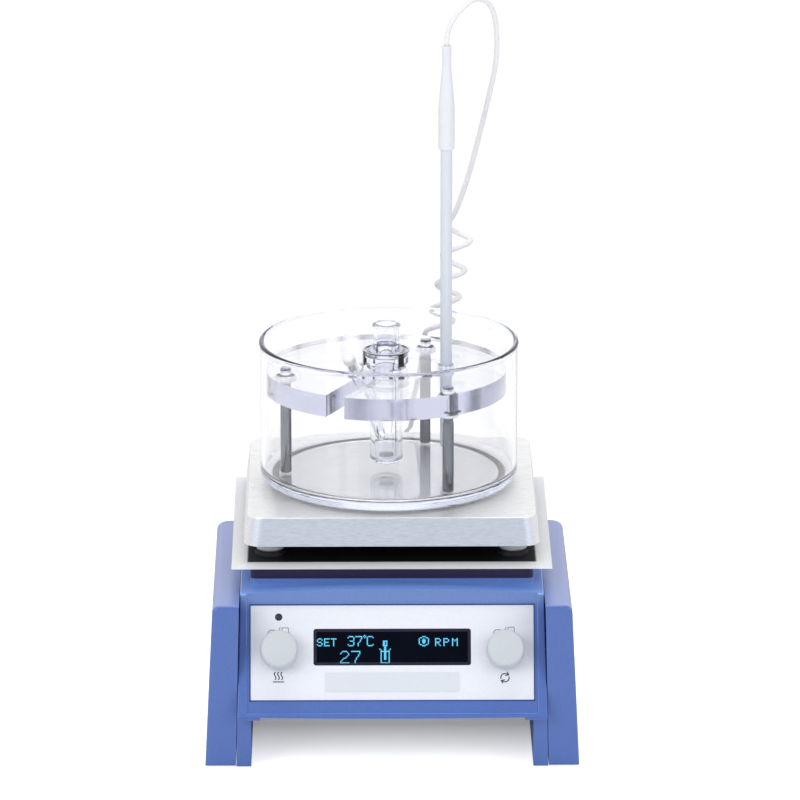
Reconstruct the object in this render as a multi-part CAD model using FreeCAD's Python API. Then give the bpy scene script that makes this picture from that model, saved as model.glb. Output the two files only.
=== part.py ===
import FreeCAD, Part
import math
import os

# A hotplate magnetic stirrer that carries a glass water bath, a clear holder on three
# legs, a glass diffusion cell and a temperature probe on a curly lead.
# Millimetres, +Z up, the front towards -Y. The origin is on the floor, at the centre of the base.

V = FreeCAD.Vector
UP = V(0, 0, 1)
RIGHT = V(1, 0, 0)
BACK = V(0, 1, 0)

# Base: casing, cheeks and feet
front_to_axis = 124.6
axis_to_rear = 85.4
seam_half_floor = 83.3
seam_taper = 2.2
seam_gap = 0.3
cheek_width_floor = 16.3
cheek_width_top = 14.1
cheek_above_deck = 0.6
cheek_drop = 11.4
cheek_wall = 3.0
cheek_top_round = 4.0
cheek_rear_round = 8.0
cheek_edge_round = 1.6
leg_setback = 8.0
leg_rear_setback = 7.0
pillar_width = 8.3
foot_proud = 0.8
foot_radius = 5.0
foot_depth = 3.0
foot_inset = 12.0
casing_wall = 3.0

# Console, deck and neck
console_bottom = 30.0
console_tilt = 27.7
console_bow = 1.0
console_front_wall = 6.0
console_floor = 3.0
console_lip = 22.0
rib_width = 5.2
rib_height = 0.8
rib_foot = 3.0
rib_round = 0.6
ear_width = 13.0
ear_drop = 1.4
ear_setback = 1.5
console_height = 59.4
deck_crown = 2.4
deck_round = 2.0
neck_half = 75.6
neck_rise = 11.8
neck_round = 3.0
floor_strip = 8.4
floor_opening_back = 14.0

# Front panel, in the console's own plane: across, up the slope, out of the face
panel_margin = 1.9
panel_head = 8.5
panel_low = 10.4
panel_thickness = 1.5
panel_recess = 1.0
panel_ledge = 3.0
panel_clearance = 0.6
panel_foot_clearance = 1.0
window_width = 83.4
window_height = 19.5
window_rise = 18.7
window_thickness = 1.2
window_clearance = 0.15
window_corner = 1.2
label_width = 71.0
label_height = 10.4
label_rise = 4.4
label_thickness = 0.4
led_inset = 14.9
led_drop = 6.2
led_radius = 1.95
led_length = 6.0
led_clearance = 0.05
led_proud = 0.05
board_depth = 12.2
board_side_gap = 2.1
board_end_gap = 0.55
board_thickness = 1.6
post_radius = 2.5
post_inset = 3.4
module_side_border = 2.3
module_end_border = 2.75

# Knobs on push-and-turn encoders
knob_inset = 15.16
knob_rise = 25.8
knob_radius = 10.0
knob_length = 11.5
knob_gap = 2.6
knob_round = 2.2
knob_crown = 0.7
knob_cavity_radius = 8.2
knob_cavity_depth = 3.0
knob_hub_wall = 1.8
shaft_radius = 3.0
shaft_fit = 0.05
shaft_grip = 7.0
encoder_size = 12.0
encoder_height = 9.0
encoder_floor = 0.5
bush_radius = 4.5
bush_clearance = 0.2
plunger_radius = 2.0
plunger_length = 2.9
plunger_gap = 0.1
push_travel = 2.0

# Hot plate, tray and heater
tray_half = 77.0
tray_edge_half = 85.5
tray_fall = 1.4
tray_sheet = 1.0
plate_gap = 9.2
plate_height = 15.3
plate_half_bottom = 79.0
plate_half_top = 77.0
plate_corner = 9.0
plate_edge_round = 0.8
standoff_x = 65.0
standoff_y = 60.0
standoff_radius = 7.35
standoff_collar = 2.2
standoff_collar_radius = 8.3
stud_radius = 2.5
stud_clearance = 0.2
stud_in_plate = 6.0
stud_nut_flats = 8.0
stud_nut_height = 4.0
stud_tail = 2.0
gusset_width = 20.0
gusset_height = 11.0
heater_outer = 60.0
heater_inner = 36.0
heater_thickness = 3.0
insulation_thickness = 3.0
plate_sensor_radius = 3.0
plate_sensor_length = 5.0
plate_sensor_x = 20.0

# Stirrer drive
motor_radius = 23.0
motor_height = 36.0
motor_round = 2.0
motor_boss_radius = 8.0
motor_boss_height = 0.9
bracket_drop = 5.4
bracket_sheet = 2.0
bracket_width = 56.0
bracket_ledge = 9.0
bracket_ledge_height = 8.0
bracket_clearance = 1.0
motor_screw_circle = 16.0
motor_screw_grip = 5.0
drive_shaft_radius = 3.0
drive_shaft_length = 38.0
drive_shaft_end_gap = 1.0
yoke_radius = 36.0
yoke_thickness = 3.0
yoke_margin = 2.0
yoke_hub_radius = 7.0
yoke_hub_length = 4.0
magnet_radius = 10.0
magnet_height = 7.0
magnet_offset = 24.0
magnet_air_gap = 1.0

# Power board, bottom plate, rear fittings and screws
bottom_sheet = 1.2
bottom_side_gap = 0.6
bottom_front_gap = 12.0
bottom_rear_gap = 4.0
power_board_width = 112.0
power_board_depth = 40.0
power_board_gap = 0.4
power_post = 5.0
transformer_x = 5.0
transformer_size = 34.0
transformer_height = 30.0
capacitor_radius = 7.0
capacitor_height = 24.0
capacitor_inset = 14.0
capacitor_pitch = 21.0
plate_screw_radius = 1.5
plate_screw_head = 3.2
plate_screw_head_height = 2.0
plate_screw_inset = 4.0
cheek_screw_z = 20.0
cheek_screw_inset = 40.0
cheek_screw_length = 12.0
cheek_screw_head_depth = 3.4
cheek_boss_radius = 4.5
rear_recess_half = 60.0
rear_recess_foot = 16.0
rear_recess_head = 7.4
rear_recess_depth = 3.0
inlet_x = -32.0
inlet_flange_width = 48.0
inlet_flange_height = 23.0
inlet_flange = 2.4
inlet_body_width = 27.0
inlet_body_height = 20.0
inlet_body_depth = 20.0
inlet_wall = 1.5
inlet_socket_depth = 16.0
inlet_pin_width = 2.0
inlet_pin_height = 4.0
inlet_pin_length = 13.0
inlet_pin_pitch = 7.0
inlet_pin_rise = 2.5
rod_socket_x = 40.0
rod_socket_radius = 8.0
rod_socket_flange = 12.0
rod_socket_flange_thickness = 2.4
rod_bore_radius = 5.05
rod_bore_depth = 25.0
rod_socket_floor = 3.0
probe_socket_x = 6.0
probe_socket_rise = 2.0
probe_socket_radius = 6.5
probe_socket_flange = 9.0
probe_socket_flange_thickness = 2.0
probe_socket_depth = 14.0
probe_socket_bore = 4.2
probe_socket_bore_depth = 10.0
rear_hole_clearance = 0.15

# Glass bath
bath_x = -1.1
dish_radius = 69.7
dish_height = 77.4
dish_wall = 2.5
dish_floor = 4.9
dish_corner = 6.0
dish_inner_corner = 4.0
dish_rim_bead = 0.45
dish_foot_width = 4.0
dish_hollow = 0.4

# Holder: clear disc on three threaded legs
holder_x = -2.4
disc_radius = 64.8
disc_rise = 45.4
disc_thickness = 12.0
slot_angle = 245.0
slot_width = 10.5
leg_circle = 54.6
leg_spread = 58.5
leg_radius = 3.0
leg_above_disc = 1.3
leg_hole_clearance = 0.05
leg_end_chamfer = 0.5
leg_neck_radius = 2.5
leg_neck_height = 3.4
nut_flats = 10.0
lock_nut_height = 3.6
nut_bore_clearance = 0.05
nut_face_share = 0.95
nut_chamfer_angle = 30.0

# Diffusion cell
cell_radius = 8.9
cell_bore = 6.3
cell_length = 53.3
cell_bottom_thickness = 2.3
cell_corner = 3.0
cell_inner_corner = 2.0
cell_clearance = 0.3
shoulder_radius = 10.75
shoulder_height = 2.5
flange_radius = 11.8
receptor_flange = 4.0
membrane_thickness = 0.5
donor_flange = 2.0
donor_cone = 3.6
donor_cone_radius = 10.0
donor_radius = 7.0
donor_wall = 1.5
donor_height = 15.0
donor_rim_radius = 7.5
donor_rim_height = 1.6
arm_radius = 3.0
arm_bore = 1.9
arm_tilt = 38.0
arm_reach = 46.4
arm_top_above_disc = 14.3
stopper_head_radius = 3.3
stopper_head_length = 4.6
stopper_shank_length = 6.0
stopper_fit = 0.06
clamp_sheet = 0.5
clamp_gap = 0.3
clamp_leg_width = 3.5
clamp_ring_width = 0.9
clamp_hook = 0.9
clamp_flare = 2.2
clamp_first_angle = -50.0
stir_bar_length = 8.0
stir_bar_radius = 1.5
stir_bar_gap = 0.25

# Temperature probe and its lead
probe_x = 29.9
probe_y = 3.0
probe_radius = 3.2
probe_tip_gap = 11.4
probe_length = 166.0
probe_tip_round = 1.2
probe_into_handle = 12.0
handle_radius = 4.45
handle_sleeve = 23.4
handle_taper = 21.5
handle_neck_radius = 2.6
handle_neck = 12.1
handle_chamfer = 0.4
handle_seam = 11.5
handle_seam_depth = 0.25
grommet_fit = 0.08
grommet_wall = 0.9
cord_radius = 1.5
cord_bend_share = 0.45
coil_turns = 4
coil_radius = 7.2
coil_pitch = 18.6
coil_closing = 0.87
coil_drift = 2.9
coil_sway = 0.7
coil_steps = 8
coil_right = 8.8
coil_behind = 75.0
coil_below = 118.5
plug_body_radius = 6.0
plug_body_length = 13.5
plug_body_round = 1.5
plug_setback = 0.3
plug_nose_fit = 0.08
plug_nose_gap = 1.0
plug_barrel_radius = 4.2
plug_barrel_offset = 9.0
plug_rise = 26.0
plug_relief = 14.0
plug_relief_radius = 2.4

# The lead's free stretches, as offsets to the right, to the back and up. The first list starts at
# the handle's top, goes over and falls behind the bath. The second leads into the curls from
# their upper left, the third leaves them, and the fourth falls to the plug's top.
cord_arc_points = [
    (0.0, 0.0, 8.0),
    (6.5, 2.5, 18.5),
    (16.5, 8.5, 25.0),
    (24.5, 15.5, 18.5),
    (27.3, 20.5, 5.0),
    (27.5, 26.0, -14.0),
    (23.5, 34.0, -36.0),
    (18.0, 45.5, -62.5),
    (13.0, 56.5, -86.0),
    (9.0, 63.5, -100.0),
]
coil_entry = (4.4, -7.0, 8.8)
coil_exit = (-0.8, 6.5, -8.6)
cord_tail_points = [
    (12.5, -5.7, 71.0),
    (9.5, -2.7, 51.0),
    (4.5, -0.5, 30.0),
    (0.0, 0.0, 12.5),
]

# Places that follow from the sizes
y_rear = (front_to_axis + axis_to_rear) / 2
y_front = -y_rear
stir_y = y_front + front_to_axis
leg_front = y_front + leg_setback
leg_rear = y_rear - leg_rear_setback
deck_height = console_bottom + console_height
seam_half_top = seam_half_floor - seam_taper
cheek_half_floor = seam_half_floor + cheek_width_floor
cheek_half_top = seam_half_top + cheek_width_top
cheek_height = deck_height + cheek_above_deck
leg_inner_half = seam_half_floor - pillar_width
bottom_half = leg_inner_half - bottom_side_gap
floor_opening_half = bottom_half - floor_strip
neck_top = deck_height + neck_rise
bracket_top = deck_height - bracket_drop
tilt = math.radians(console_tilt)
console_slope = (console_height + deck_crown) / math.cos(tilt)
panel_face = -rib_height - panel_recess
panel_back = panel_face - panel_thickness
board_front = panel_back - board_depth
rear_recess_low = console_bottom + rear_recess_foot
rear_recess_high = deck_height - rear_recess_head
rear_middle = (rear_recess_low + rear_recess_high) / 2
probe_socket_z = rear_middle + probe_socket_rise
recess_floor = y_rear - rear_recess_depth
plug_start = recess_floor + probe_socket_flange_thickness + plug_setback
tray_top = neck_top + tray_sheet
gusset_low = neck_top - gusset_height
plate_bottom = tray_top + plate_gap
plate_top = plate_bottom + plate_height
dish_inside = plate_top + dish_floor
disc_bottom = dish_inside + disc_rise
disc_top = disc_bottom + disc_thickness
flange_low = disc_top + shoulder_height
membrane_low = flange_low + receptor_flange
donor_low = membrane_low + membrane_thickness
donor_flange_top = donor_low + donor_flange
bath_axis = V(bath_x, stir_y, 0)
holder_axis = V(holder_x, stir_y, 0)
stir_axis = V(0, stir_y, 0)
probe_axis = V(probe_x, stir_y + probe_y, 0)
probe_tip = dish_inside + probe_tip_gap
probe_rod_top = probe_tip + probe_length
handle_top = probe_axis + UP * (probe_rod_top + handle_sleeve + handle_taper + handle_neck)
plug_middle = V(probe_socket_x, plug_start + plug_barrel_offset, probe_socket_z + plug_rise)

# How close an edge's middle must come to a face to count as lying on it
touch = 0.01

nodes = {}


def seam_half(z):
    """Half width of the seam between casing and cheek at a height."""
    return seam_half_floor - seam_taper * z / cheek_height


def cheek_half(z):
    """Half width of the base's outer face at a height."""
    return cheek_half_floor - (cheek_half_floor - cheek_half_top) * z / cheek_height


# The panel's half width and height, and what is set out from its edges
rib_half = seam_half(console_bottom) - seam_gap - rib_width
panel_half = rib_half - panel_margin
panel_height = console_slope - panel_low - panel_head
panel_high = panel_low + panel_height
panel_hole_half = panel_half - panel_ledge
board_half = panel_hole_half - board_side_gap
board_height = panel_height - 2 * (panel_ledge + board_end_gap)
knob_across = panel_half - knob_inset
knob_up = panel_low + knob_rise
window_low = panel_low + window_rise
label_low = panel_low + label_rise


def box(x0, x1, y0, y1, z0, z1):
    return Part.makeBox(x1 - x0, y1 - y0, z1 - z0, V(x0, y0, z0))


def cylinder(radius, start, axis, length):
    return Part.makeCylinder(radius, length, start, axis)


def upright(radius, centre, z0, z1):
    """A vertical cylinder between two heights."""
    return Part.makeCylinder(radius, z1 - z0, V(centre.x, centre.y, z0), UP)


def ring(outer, inner, centre, z0, z1):
    return upright(outer, centre, z0, z1).cut(upright(inner, centre, z0, z1))


def polygon_prism(points, along):
    """A straight prism on a flat polygon."""
    return Part.Face(Part.makePolygon(points + points[:1])).extrude(along)


def rounded_rectangle(half_x, half_y, radius, centre, z):
    """A horizontal rectangle with round corners, as a wire."""
    straight_x = half_x - radius
    straight_y = half_y - radius
    edges = []
    last = None
    for turn in range(4):
        start = math.radians(90 * turn)
        sx = 1 if turn in (0, 3) else -1
        sy = 1 if turn in (0, 1) else -1
        mid = V(centre.x + sx * straight_x, centre.y + sy * straight_y, z)
        corner = [mid + V(math.cos(a), math.sin(a), 0) * radius
                  for a in (start, start + math.pi / 4, start + math.pi / 2)]
        if last is not None:
            edges.append(Part.makeLine(last, corner[0]))
        edges.append(Part.Arc(*corner).toShape())
        last = corner[2]
    edges.append(Part.makeLine(last, edges[0].Vertexes[0].Point))
    return Part.Wire(edges)


def rounded_block(half_x, half_y, radius, centre, z0, z1):
    wire = rounded_rectangle(half_x, half_y, radius, centre, z0)
    return Part.Face(wire).extrude(V(0, 0, z1 - z0))


def hexagon(flats, centre, z0, z1):
    """A hexagonal prism, given across its flats."""
    corner = flats / math.sqrt(3)
    points = [V(centre.x + corner * math.cos(math.radians(60 * k)),
                centre.y + corner * math.sin(math.radians(60 * k)), z0) for k in range(6)]
    return polygon_prism(points, V(0, 0, z1 - z0))


def nut(flats, bore, centre, z0, z1):
    """A hexagonal nut with its corners turned off at both faces."""
    face = nut_face_share * flats / 2
    corner = flats / math.sqrt(3)
    slope = (corner - face) * math.tan(math.radians(nut_chamfer_angle))
    blank = turned([(0, z0), (face, z0), (corner, z0 + slope), (corner, z1 - slope),
                    (face, z1), (0, z1)], centre)
    return hexagon(flats, centre, z0, z1).common(blank).cut(upright(bore, centre, z0, z1))


def turned(profile, centre):
    """A solid of revolution about a vertical axis. A profile item is (r, z), or a pair of
    them for an arc: a point on the way and the arc's end."""
    def place(p):
        return V(centre.x + p[0], centre.y, p[1])
    edges = []
    first = last = place(profile[0])
    for item in profile[1:]:
        if isinstance(item[0], tuple):
            end = place(item[1])
            edges.append(Part.Arc(last, place(item[0]), end).toShape())
        else:
            end = place(item)
            edges.append(Part.makeLine(last, end))
        last = end
    edges.append(Part.makeLine(last, first))
    face = Part.Face(Part.Wire(edges))
    return face.revolve(V(centre.x, centre.y, 0), UP, 360)


def corner_arc(r, z, radius, start):
    """The middle and end of a quarter arc about (r, z) that begins at an angle in degrees."""
    mid = math.radians(start + 45)
    end = math.radians(start + 90)
    return ((r + radius * math.cos(mid), z + radius * math.sin(mid)),
            (r + radius * math.cos(end), z + radius * math.sin(end)))


def on_console(shape):
    """Moves a shape from the console's plane (across, up the slope, outwards) to its place."""
    placed = shape.copy()
    placed.Placement = FreeCAD.Placement(
        V(0, y_front, console_bottom), FreeCAD.Rotation(RIGHT, 90 - console_tilt))
    return placed


def edges_near(shape, test):
    """The edges whose middle point passes a test."""
    return [e for e in shape.Edges if test(e.valueAt((e.FirstParameter + e.LastParameter) / 2))]


def fuse_all(shapes):
    whole = shapes[0]
    for shape in shapes[1:]:
        whole = whole.fuse(shape)
    return whole


def mirrored(shape):
    return shape.mirror(V(0, 0, 0), RIGHT)


def around(centre, radius, angle):
    """The point at a radius and an angle in degrees about a vertical axis."""
    a = math.radians(angle)
    return V(centre.x + radius * math.cos(a), centre.y + radius * math.sin(a), centre.z)


def casing_prism(inset, y0, y1):
    """The casing's cross-section, drafted sides under a crowned deck, run from front to back."""
    low = seam_half(0) - seam_gap - inset
    high = seam_half(deck_height) - seam_gap - inset
    top = deck_height - inset
    a, b = V(-low, y0, 0), V(low, y0, 0)
    c, d, e = V(high, y0, top), V(0, y0, top + deck_crown), V(-high, y0, top)
    wire = Part.Wire([Part.makeLine(a, b), Part.makeLine(b, c),
                      Part.Arc(c, d, e).toShape(), Part.makeLine(e, a)])
    return Part.Face(wire).extrude(V(0, y1 - y0, 0))


def side_profile(y_low, z_low, y_back, half):
    """The console and deck seen from the side: a tilted front, a flat floor, an upright back."""
    z_high = neck_top
    points = [V(-half, y_low, z_low), V(-half, y_back, z_low), V(-half, y_back, z_high),
              V(-half, y_low + (z_high - z_low) * math.tan(tilt), z_high)]
    return polygon_prism(points, V(2 * half, 0, 0))


def standoff_places():
    return [V(sx * standoff_x, stir_y + sy * standoff_y, 0) for sx in (-1, 1) for sy in (-1, 1)]


def plate_screw_places():
    """Where the bottom plate's screws go, in the casing's floor strips."""
    x = (floor_opening_half + bottom_half) / 2
    front = y_front + bottom_front_gap + plate_screw_inset
    back = y_rear - bottom_rear_gap - plate_screw_inset
    return [V(sx * x, y, console_bottom) for sx in (-1, 1) for y in (front, back)]


def cheek_screw_places():
    return [V(0, y, cheek_screw_z)
            for y in (leg_front + cheek_screw_inset, leg_rear - cheek_screw_inset)]


def on_rib_edge(p):
    """True for a point on the front edges of the console's ribs or of the strip below them."""
    place = p - V(0, y_front, console_bottom)
    up = place.y * math.sin(tilt) + place.z * math.cos(tilt)
    out = place.z * math.sin(tilt) - place.y * math.cos(tilt)
    if abs(out) > touch or up > console_slope - deck_round:
        return False
    side = abs(p.x)
    on_sides = abs(side - rib_half) < touch or abs(side - seam_half(p.z) + seam_gap) < touch
    return on_sides or abs(up - rib_foot) < touch


def make_casing():
    half = cheek_half_floor
    body = casing_prism(0, y_front, y_rear).common(
        side_profile(y_front, console_bottom, y_rear, half))
    body = body.makeFillet(deck_round, edges_near(
        body, lambda p: abs(p.x) < touch and p.z > deck_height and p.y < 0))
    bow_low = console_bottom - console_bow
    bow_end = console_bottom + console_bow
    left_low, right_low = V(-half, y_front, bow_low), V(half, y_front, bow_low)
    left_end, right_end = V(-half, y_front, bow_end), V(half, y_front, bow_end)
    bow_wire = Part.Wire([
        Part.makeLine(left_low, right_low), Part.makeLine(right_low, right_end),
        Part.Arc(right_end, V(0, y_front, console_bottom), left_end).toShape(),
        Part.makeLine(left_end, left_low)])
    body = body.cut(Part.Face(bow_wire).extrude(V(0, leg_setback, 0)))

    floor_top = console_bottom + console_floor
    ears = casing_prism(0, y_front, y_rear).common(
        box(seam_half_floor - ear_width, half, y_front + ear_setback, leg_front,
            console_bottom - ear_drop, console_bottom + ear_drop))
    neck = rounded_block(neck_half, neck_half, neck_round, stir_axis,
                         deck_height - casing_wall, neck_top)
    outer = fuse_all([body, ears, mirrored(ears), neck])

    inner_front = y_front + console_front_wall / math.cos(tilt) + console_floor * math.tan(tilt)
    cavity = casing_prism(casing_wall, y_front, y_rear).common(
        side_profile(inner_front, console_bottom + console_floor, y_rear - casing_wall, half))
    edge = neck_half - casing_wall
    neck_cavity = rounded_block(edge, edge, neck_round, stir_axis, deck_height - 2 * casing_wall, neck_top)
    for sx in (-1, 1):
        for sy in (-1, 1):
            x = sorted((sx * (edge - gusset_width), sx * edge))
            y = sorted((stir_y + sy * (edge - gusset_width), stir_y + sy * edge))
            neck_cavity = neck_cavity.cut(box(*x, *y, gusset_low, neck_top))
    floor_hole = box(-floor_opening_half, floor_opening_half,
                     y_front + console_lip, y_rear - floor_opening_back, console_bottom, floor_top)
    casing = outer.cut(cavity).cut(neck_cavity).cut(floor_hole)

    ledge = box(leg_inner_half - bracket_ledge, seam_half_top, stir_y - bracket_width / 2,
                stir_y + bracket_width / 2, bracket_top - bracket_sheet - bracket_ledge_height,
                bracket_top - bracket_sheet)
    ledge = ledge.common(casing_prism(0, y_front, y_rear))
    casing = fuse_all([casing, ledge, mirrored(ledge)])

    recess_high = console_slope + deck_crown
    face_recess = box(-rib_half, rib_half, rib_foot, recess_high, -rib_height, deck_crown)
    casing = casing.cut(on_console(face_recess))
    casing = casing.makeFillet(rib_round, edges_near(casing, on_rib_edge))
    pocket_half = panel_half + panel_clearance
    pocket = box(-pocket_half, pocket_half, panel_low - panel_foot_clearance,
                 panel_high + panel_clearance, panel_back, 0)
    hole = box(-panel_hole_half, panel_hole_half, panel_low + panel_ledge, panel_high - panel_ledge,
               -2 * console_front_wall, 0)
    for cut in (pocket, hole):
        casing = casing.cut(on_console(cut))

    casing = casing.cut(box(-rear_recess_half, rear_recess_half, recess_floor, y_rear,
                            rear_recess_low, rear_recess_high))
    backing = box(-rear_recess_half - casing_wall, rear_recess_half + casing_wall,
                  recess_floor - casing_wall, recess_floor,
                  rear_recess_low - casing_wall, rear_recess_high + casing_wall)
    casing = casing.fuse(backing)
    wall_start = recess_floor - casing_wall
    inlet_hole_half = inlet_body_width / 2 + rear_hole_clearance
    inlet_hole_rise = inlet_body_height / 2 + rear_hole_clearance
    casing = casing.cut(box(inlet_x - inlet_hole_half, inlet_x + inlet_hole_half, wall_start, y_rear,
                            rear_middle - inlet_hole_rise, rear_middle + inlet_hole_rise))
    for x, z, radius in ((rod_socket_x, rear_middle, rod_socket_radius),
                         (probe_socket_x, probe_socket_z, probe_socket_radius)):
        casing = casing.cut(cylinder(radius + rear_hole_clearance, V(x, wall_start, z), BACK,
                                     2 * casing_wall))

    for place in standoff_places():
        casing = casing.cut(upright(stud_radius + stud_clearance, place, gusset_low, neck_top))
    for place in plate_screw_places():
        casing = casing.cut(upright(plate_screw_radius, place, console_bottom, floor_top))
    nodes["main_casing"] = casing.removeSplitter()


def make_inner_legs():
    """The legs' inner walls, under the casing, screwed to the cheeks."""
    wall = casing_prism(0, leg_front, leg_rear).common(
        box(leg_inner_half, cheek_half_floor, leg_front, leg_rear, foot_proud, console_bottom))
    for place in cheek_screw_places():
        start = V(leg_inner_half, place.y, place.z)
        wall = wall.cut(cylinder(plate_screw_head + rear_hole_clearance, start, RIGHT,
                                 cheek_screw_head_depth))
        wall = wall.cut(cylinder(plate_screw_radius + rear_hole_clearance, start, RIGHT,
                                 cheek_half_floor - leg_inner_half))
    nodes["inner_legs"] = Part.makeCompound([wall, mirrored(wall)])


def cheek_block(inset, inner_step):
    """The right cheek's side outline, drafted outwards, smaller by an inset."""
    low = foot_proud + inset
    front, back = leg_front + inset, leg_rear - inset
    outline = [(front, low), (back, low), (back, cheek_height - cheek_drop - inset),
               (front, cheek_height - inset)]
    inner = [V(seam_half(z) - inner_step, y, z) for y, z in outline]
    outer = [V(cheek_half(z) - inset, y, z) for y, z in outline]
    wires = [Part.makePolygon(w + w[:1]) for w in (inner, outer)]
    return Part.makeLoft(wires, True, True)


def make_cheeks():
    block = cheek_block(0, 0)
    rear_top = cheek_height - cheek_drop
    block = block.makeFillet(cheek_rear_round, edges_near(
        block, lambda p: p.y > leg_rear - touch and p.x > seam_half_floor
        and foot_proud + touch < p.z < rear_top - touch))
    block = block.makeFillet(cheek_top_round, edges_near(
        block, lambda p: p.z > rear_top and p.x > cheek_half_top))
    block = block.makeFillet(cheek_edge_round, edges_near(
        block, lambda p: p.y < leg_front + touch and p.x > seam_half_floor))
    cavity = cheek_block(cheek_wall, seam_gap)
    bosses = []
    for place in cheek_screw_places():
        start = V(seam_half(place.z), place.y, place.z)
        reach = cheek_half(place.z) - cheek_wall / 2 - start.x
        bosses.append(cylinder(cheek_boss_radius, start, RIGHT, reach))
    pads = [upright(foot_radius + cheek_wall / 2, place, foot_proud, foot_depth + cheek_wall)
            for place in foot_places()]
    cheek = fuse_all([block.cut(cavity)] + [p.common(block) for p in bosses + pads])
    for place in cheek_screw_places():
        cheek = cheek.cut(cylinder(plate_screw_radius, V(leg_inner_half, place.y, place.z), RIGHT,
                                   cheek_screw_length + cheek_screw_head_depth))
    for place in foot_places():
        cheek = cheek.cut(upright(foot_radius, place, 0, foot_depth))
    nodes["right_cheek"] = cheek
    nodes["left_cheek"] = mirrored(cheek)


def foot_places():
    """The right cheek's two feet."""
    x = (seam_half_floor + cheek_half_floor) / 2
    return [V(x, y, 0) for y in (leg_front + foot_inset, leg_rear - foot_inset)]


def make_feet():
    pads = [upright(foot_radius, place, 0, foot_depth) for place in foot_places()]
    nodes["feet"] = Part.makeCompound(pads + [mirrored(p) for p in pads])


def make_bottom():
    y0 = y_front + bottom_front_gap
    y1 = y_rear - bottom_rear_gap
    sheet = box(-bottom_half, bottom_half, y0, y1, console_bottom - bottom_sheet, console_bottom)
    screws = []
    for place in plate_screw_places():
        head = console_bottom - bottom_sheet
        head_low = head - plate_screw_head_height
        sheet = sheet.cut(upright(plate_screw_radius, place, head, console_bottom))
        screw = upright(plate_screw_head, place, head_low, head)
        screw = screw.makeFillet(plate_screw_head_height / 2, edges_near(
            screw, lambda p: p.z < head_low + touch))
        shank = upright(plate_screw_radius, place, head, head + bottom_sheet + console_floor)
        screws.append(screw.fuse(shank))
    for place in cheek_screw_places():
        for sx in (-1, 1):
            start = V(sx * (leg_inner_half + cheek_screw_head_depth), place.y, place.z)
            head = cylinder(plate_screw_head, start, RIGHT * -sx, plate_screw_head_height)
            screws.append(head.fuse(cylinder(plate_screw_radius, start, RIGHT * sx, cheek_screw_length)))
    nodes["bottom_plate"] = sheet
    nodes["casing_screws"] = Part.makeCompound(screws)


def make_panel():
    sheet = box(-panel_half, panel_half, panel_low, panel_high, panel_back, panel_face)
    window_middle = V(0, window_low + window_height / 2, 0)
    sheet = sheet.cut(rounded_block(
        window_width / 2 + window_clearance, window_height / 2 + window_clearance,
        window_corner + window_clearance, window_middle, panel_back, panel_face))
    led_place = V(led_inset - panel_half, panel_high - led_drop, 0)
    sheet = sheet.cut(upright(led_radius + led_clearance, led_place, panel_back, panel_face))
    for sx in (-1, 1):
        knob_place = V(sx * knob_across, knob_up, 0)
        sheet = sheet.cut(upright(bush_radius + bush_clearance, knob_place, panel_back, panel_face))
    middle = panel_low + panel_height / 2
    post_x = board_half - post_inset
    post_y = board_height / 2 - post_inset
    posts = [upright(post_radius, V(sx * post_x, middle + sy * post_y, 0), board_front, panel_back)
             for sx in (-1, 1) for sy in (-1, 1)]
    nodes["front_panel"] = on_console(fuse_all([sheet] + posts))
    nodes["control_board"] = on_console(
        box(-board_half, board_half, middle - board_height / 2, middle + board_height / 2,
            board_front - board_thickness, board_front))
    window_back = panel_face - window_thickness
    nodes["display_window"] = on_console(rounded_block(
        window_width / 2, window_height / 2, window_corner, window_middle, window_back, panel_face))
    module_half = window_width / 2 + module_side_border
    module = box(-module_half, module_half, window_low - module_end_border,
                 window_low + window_height + module_end_border, board_front, panel_back)
    nodes["display_module"] = on_console(module.fuse(rounded_block(
        window_width / 2, window_height / 2, window_corner, window_middle, panel_back, window_back)))
    nodes["label_strip"] = on_console(
        box(-label_width / 2, label_width / 2, label_low, label_low + label_height,
            panel_face, panel_face + label_thickness))
    lens_top = panel_face + led_proud
    lens = upright(led_radius, led_place, lens_top - led_length, lens_top)
    lens = lens.makeFillet(led_radius / 2, edges_near(lens, lambda p: p.z > panel_face))
    nodes["status_led"] = on_console(lens)


def knob_profile(low):
    """A knob with a soft domed edge, hollow below round its hub, in (radius, height) pairs."""
    high = low + knob_length
    side = high - knob_crown - knob_round
    flat = knob_radius - knob_round
    crown = (flat ** 2 + knob_crown ** 2) / (2 * knob_crown)
    lean = math.asin(flat / crown) / 2
    hub = shaft_radius + shaft_fit
    hub_wall = hub + knob_hub_wall
    shelf = low + knob_cavity_depth
    return [(hub, low), (hub_wall, low), (hub_wall, shelf), (knob_cavity_radius, shelf),
            (knob_cavity_radius, low), (knob_radius, low), (knob_radius, side),
            corner_arc(flat, side, knob_round, 0),
            ((crown * math.sin(lean), high - crown * (1 - math.cos(lean))), (0, high)),
            (0, low + shaft_grip), (hub, low + shaft_grip)]


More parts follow.
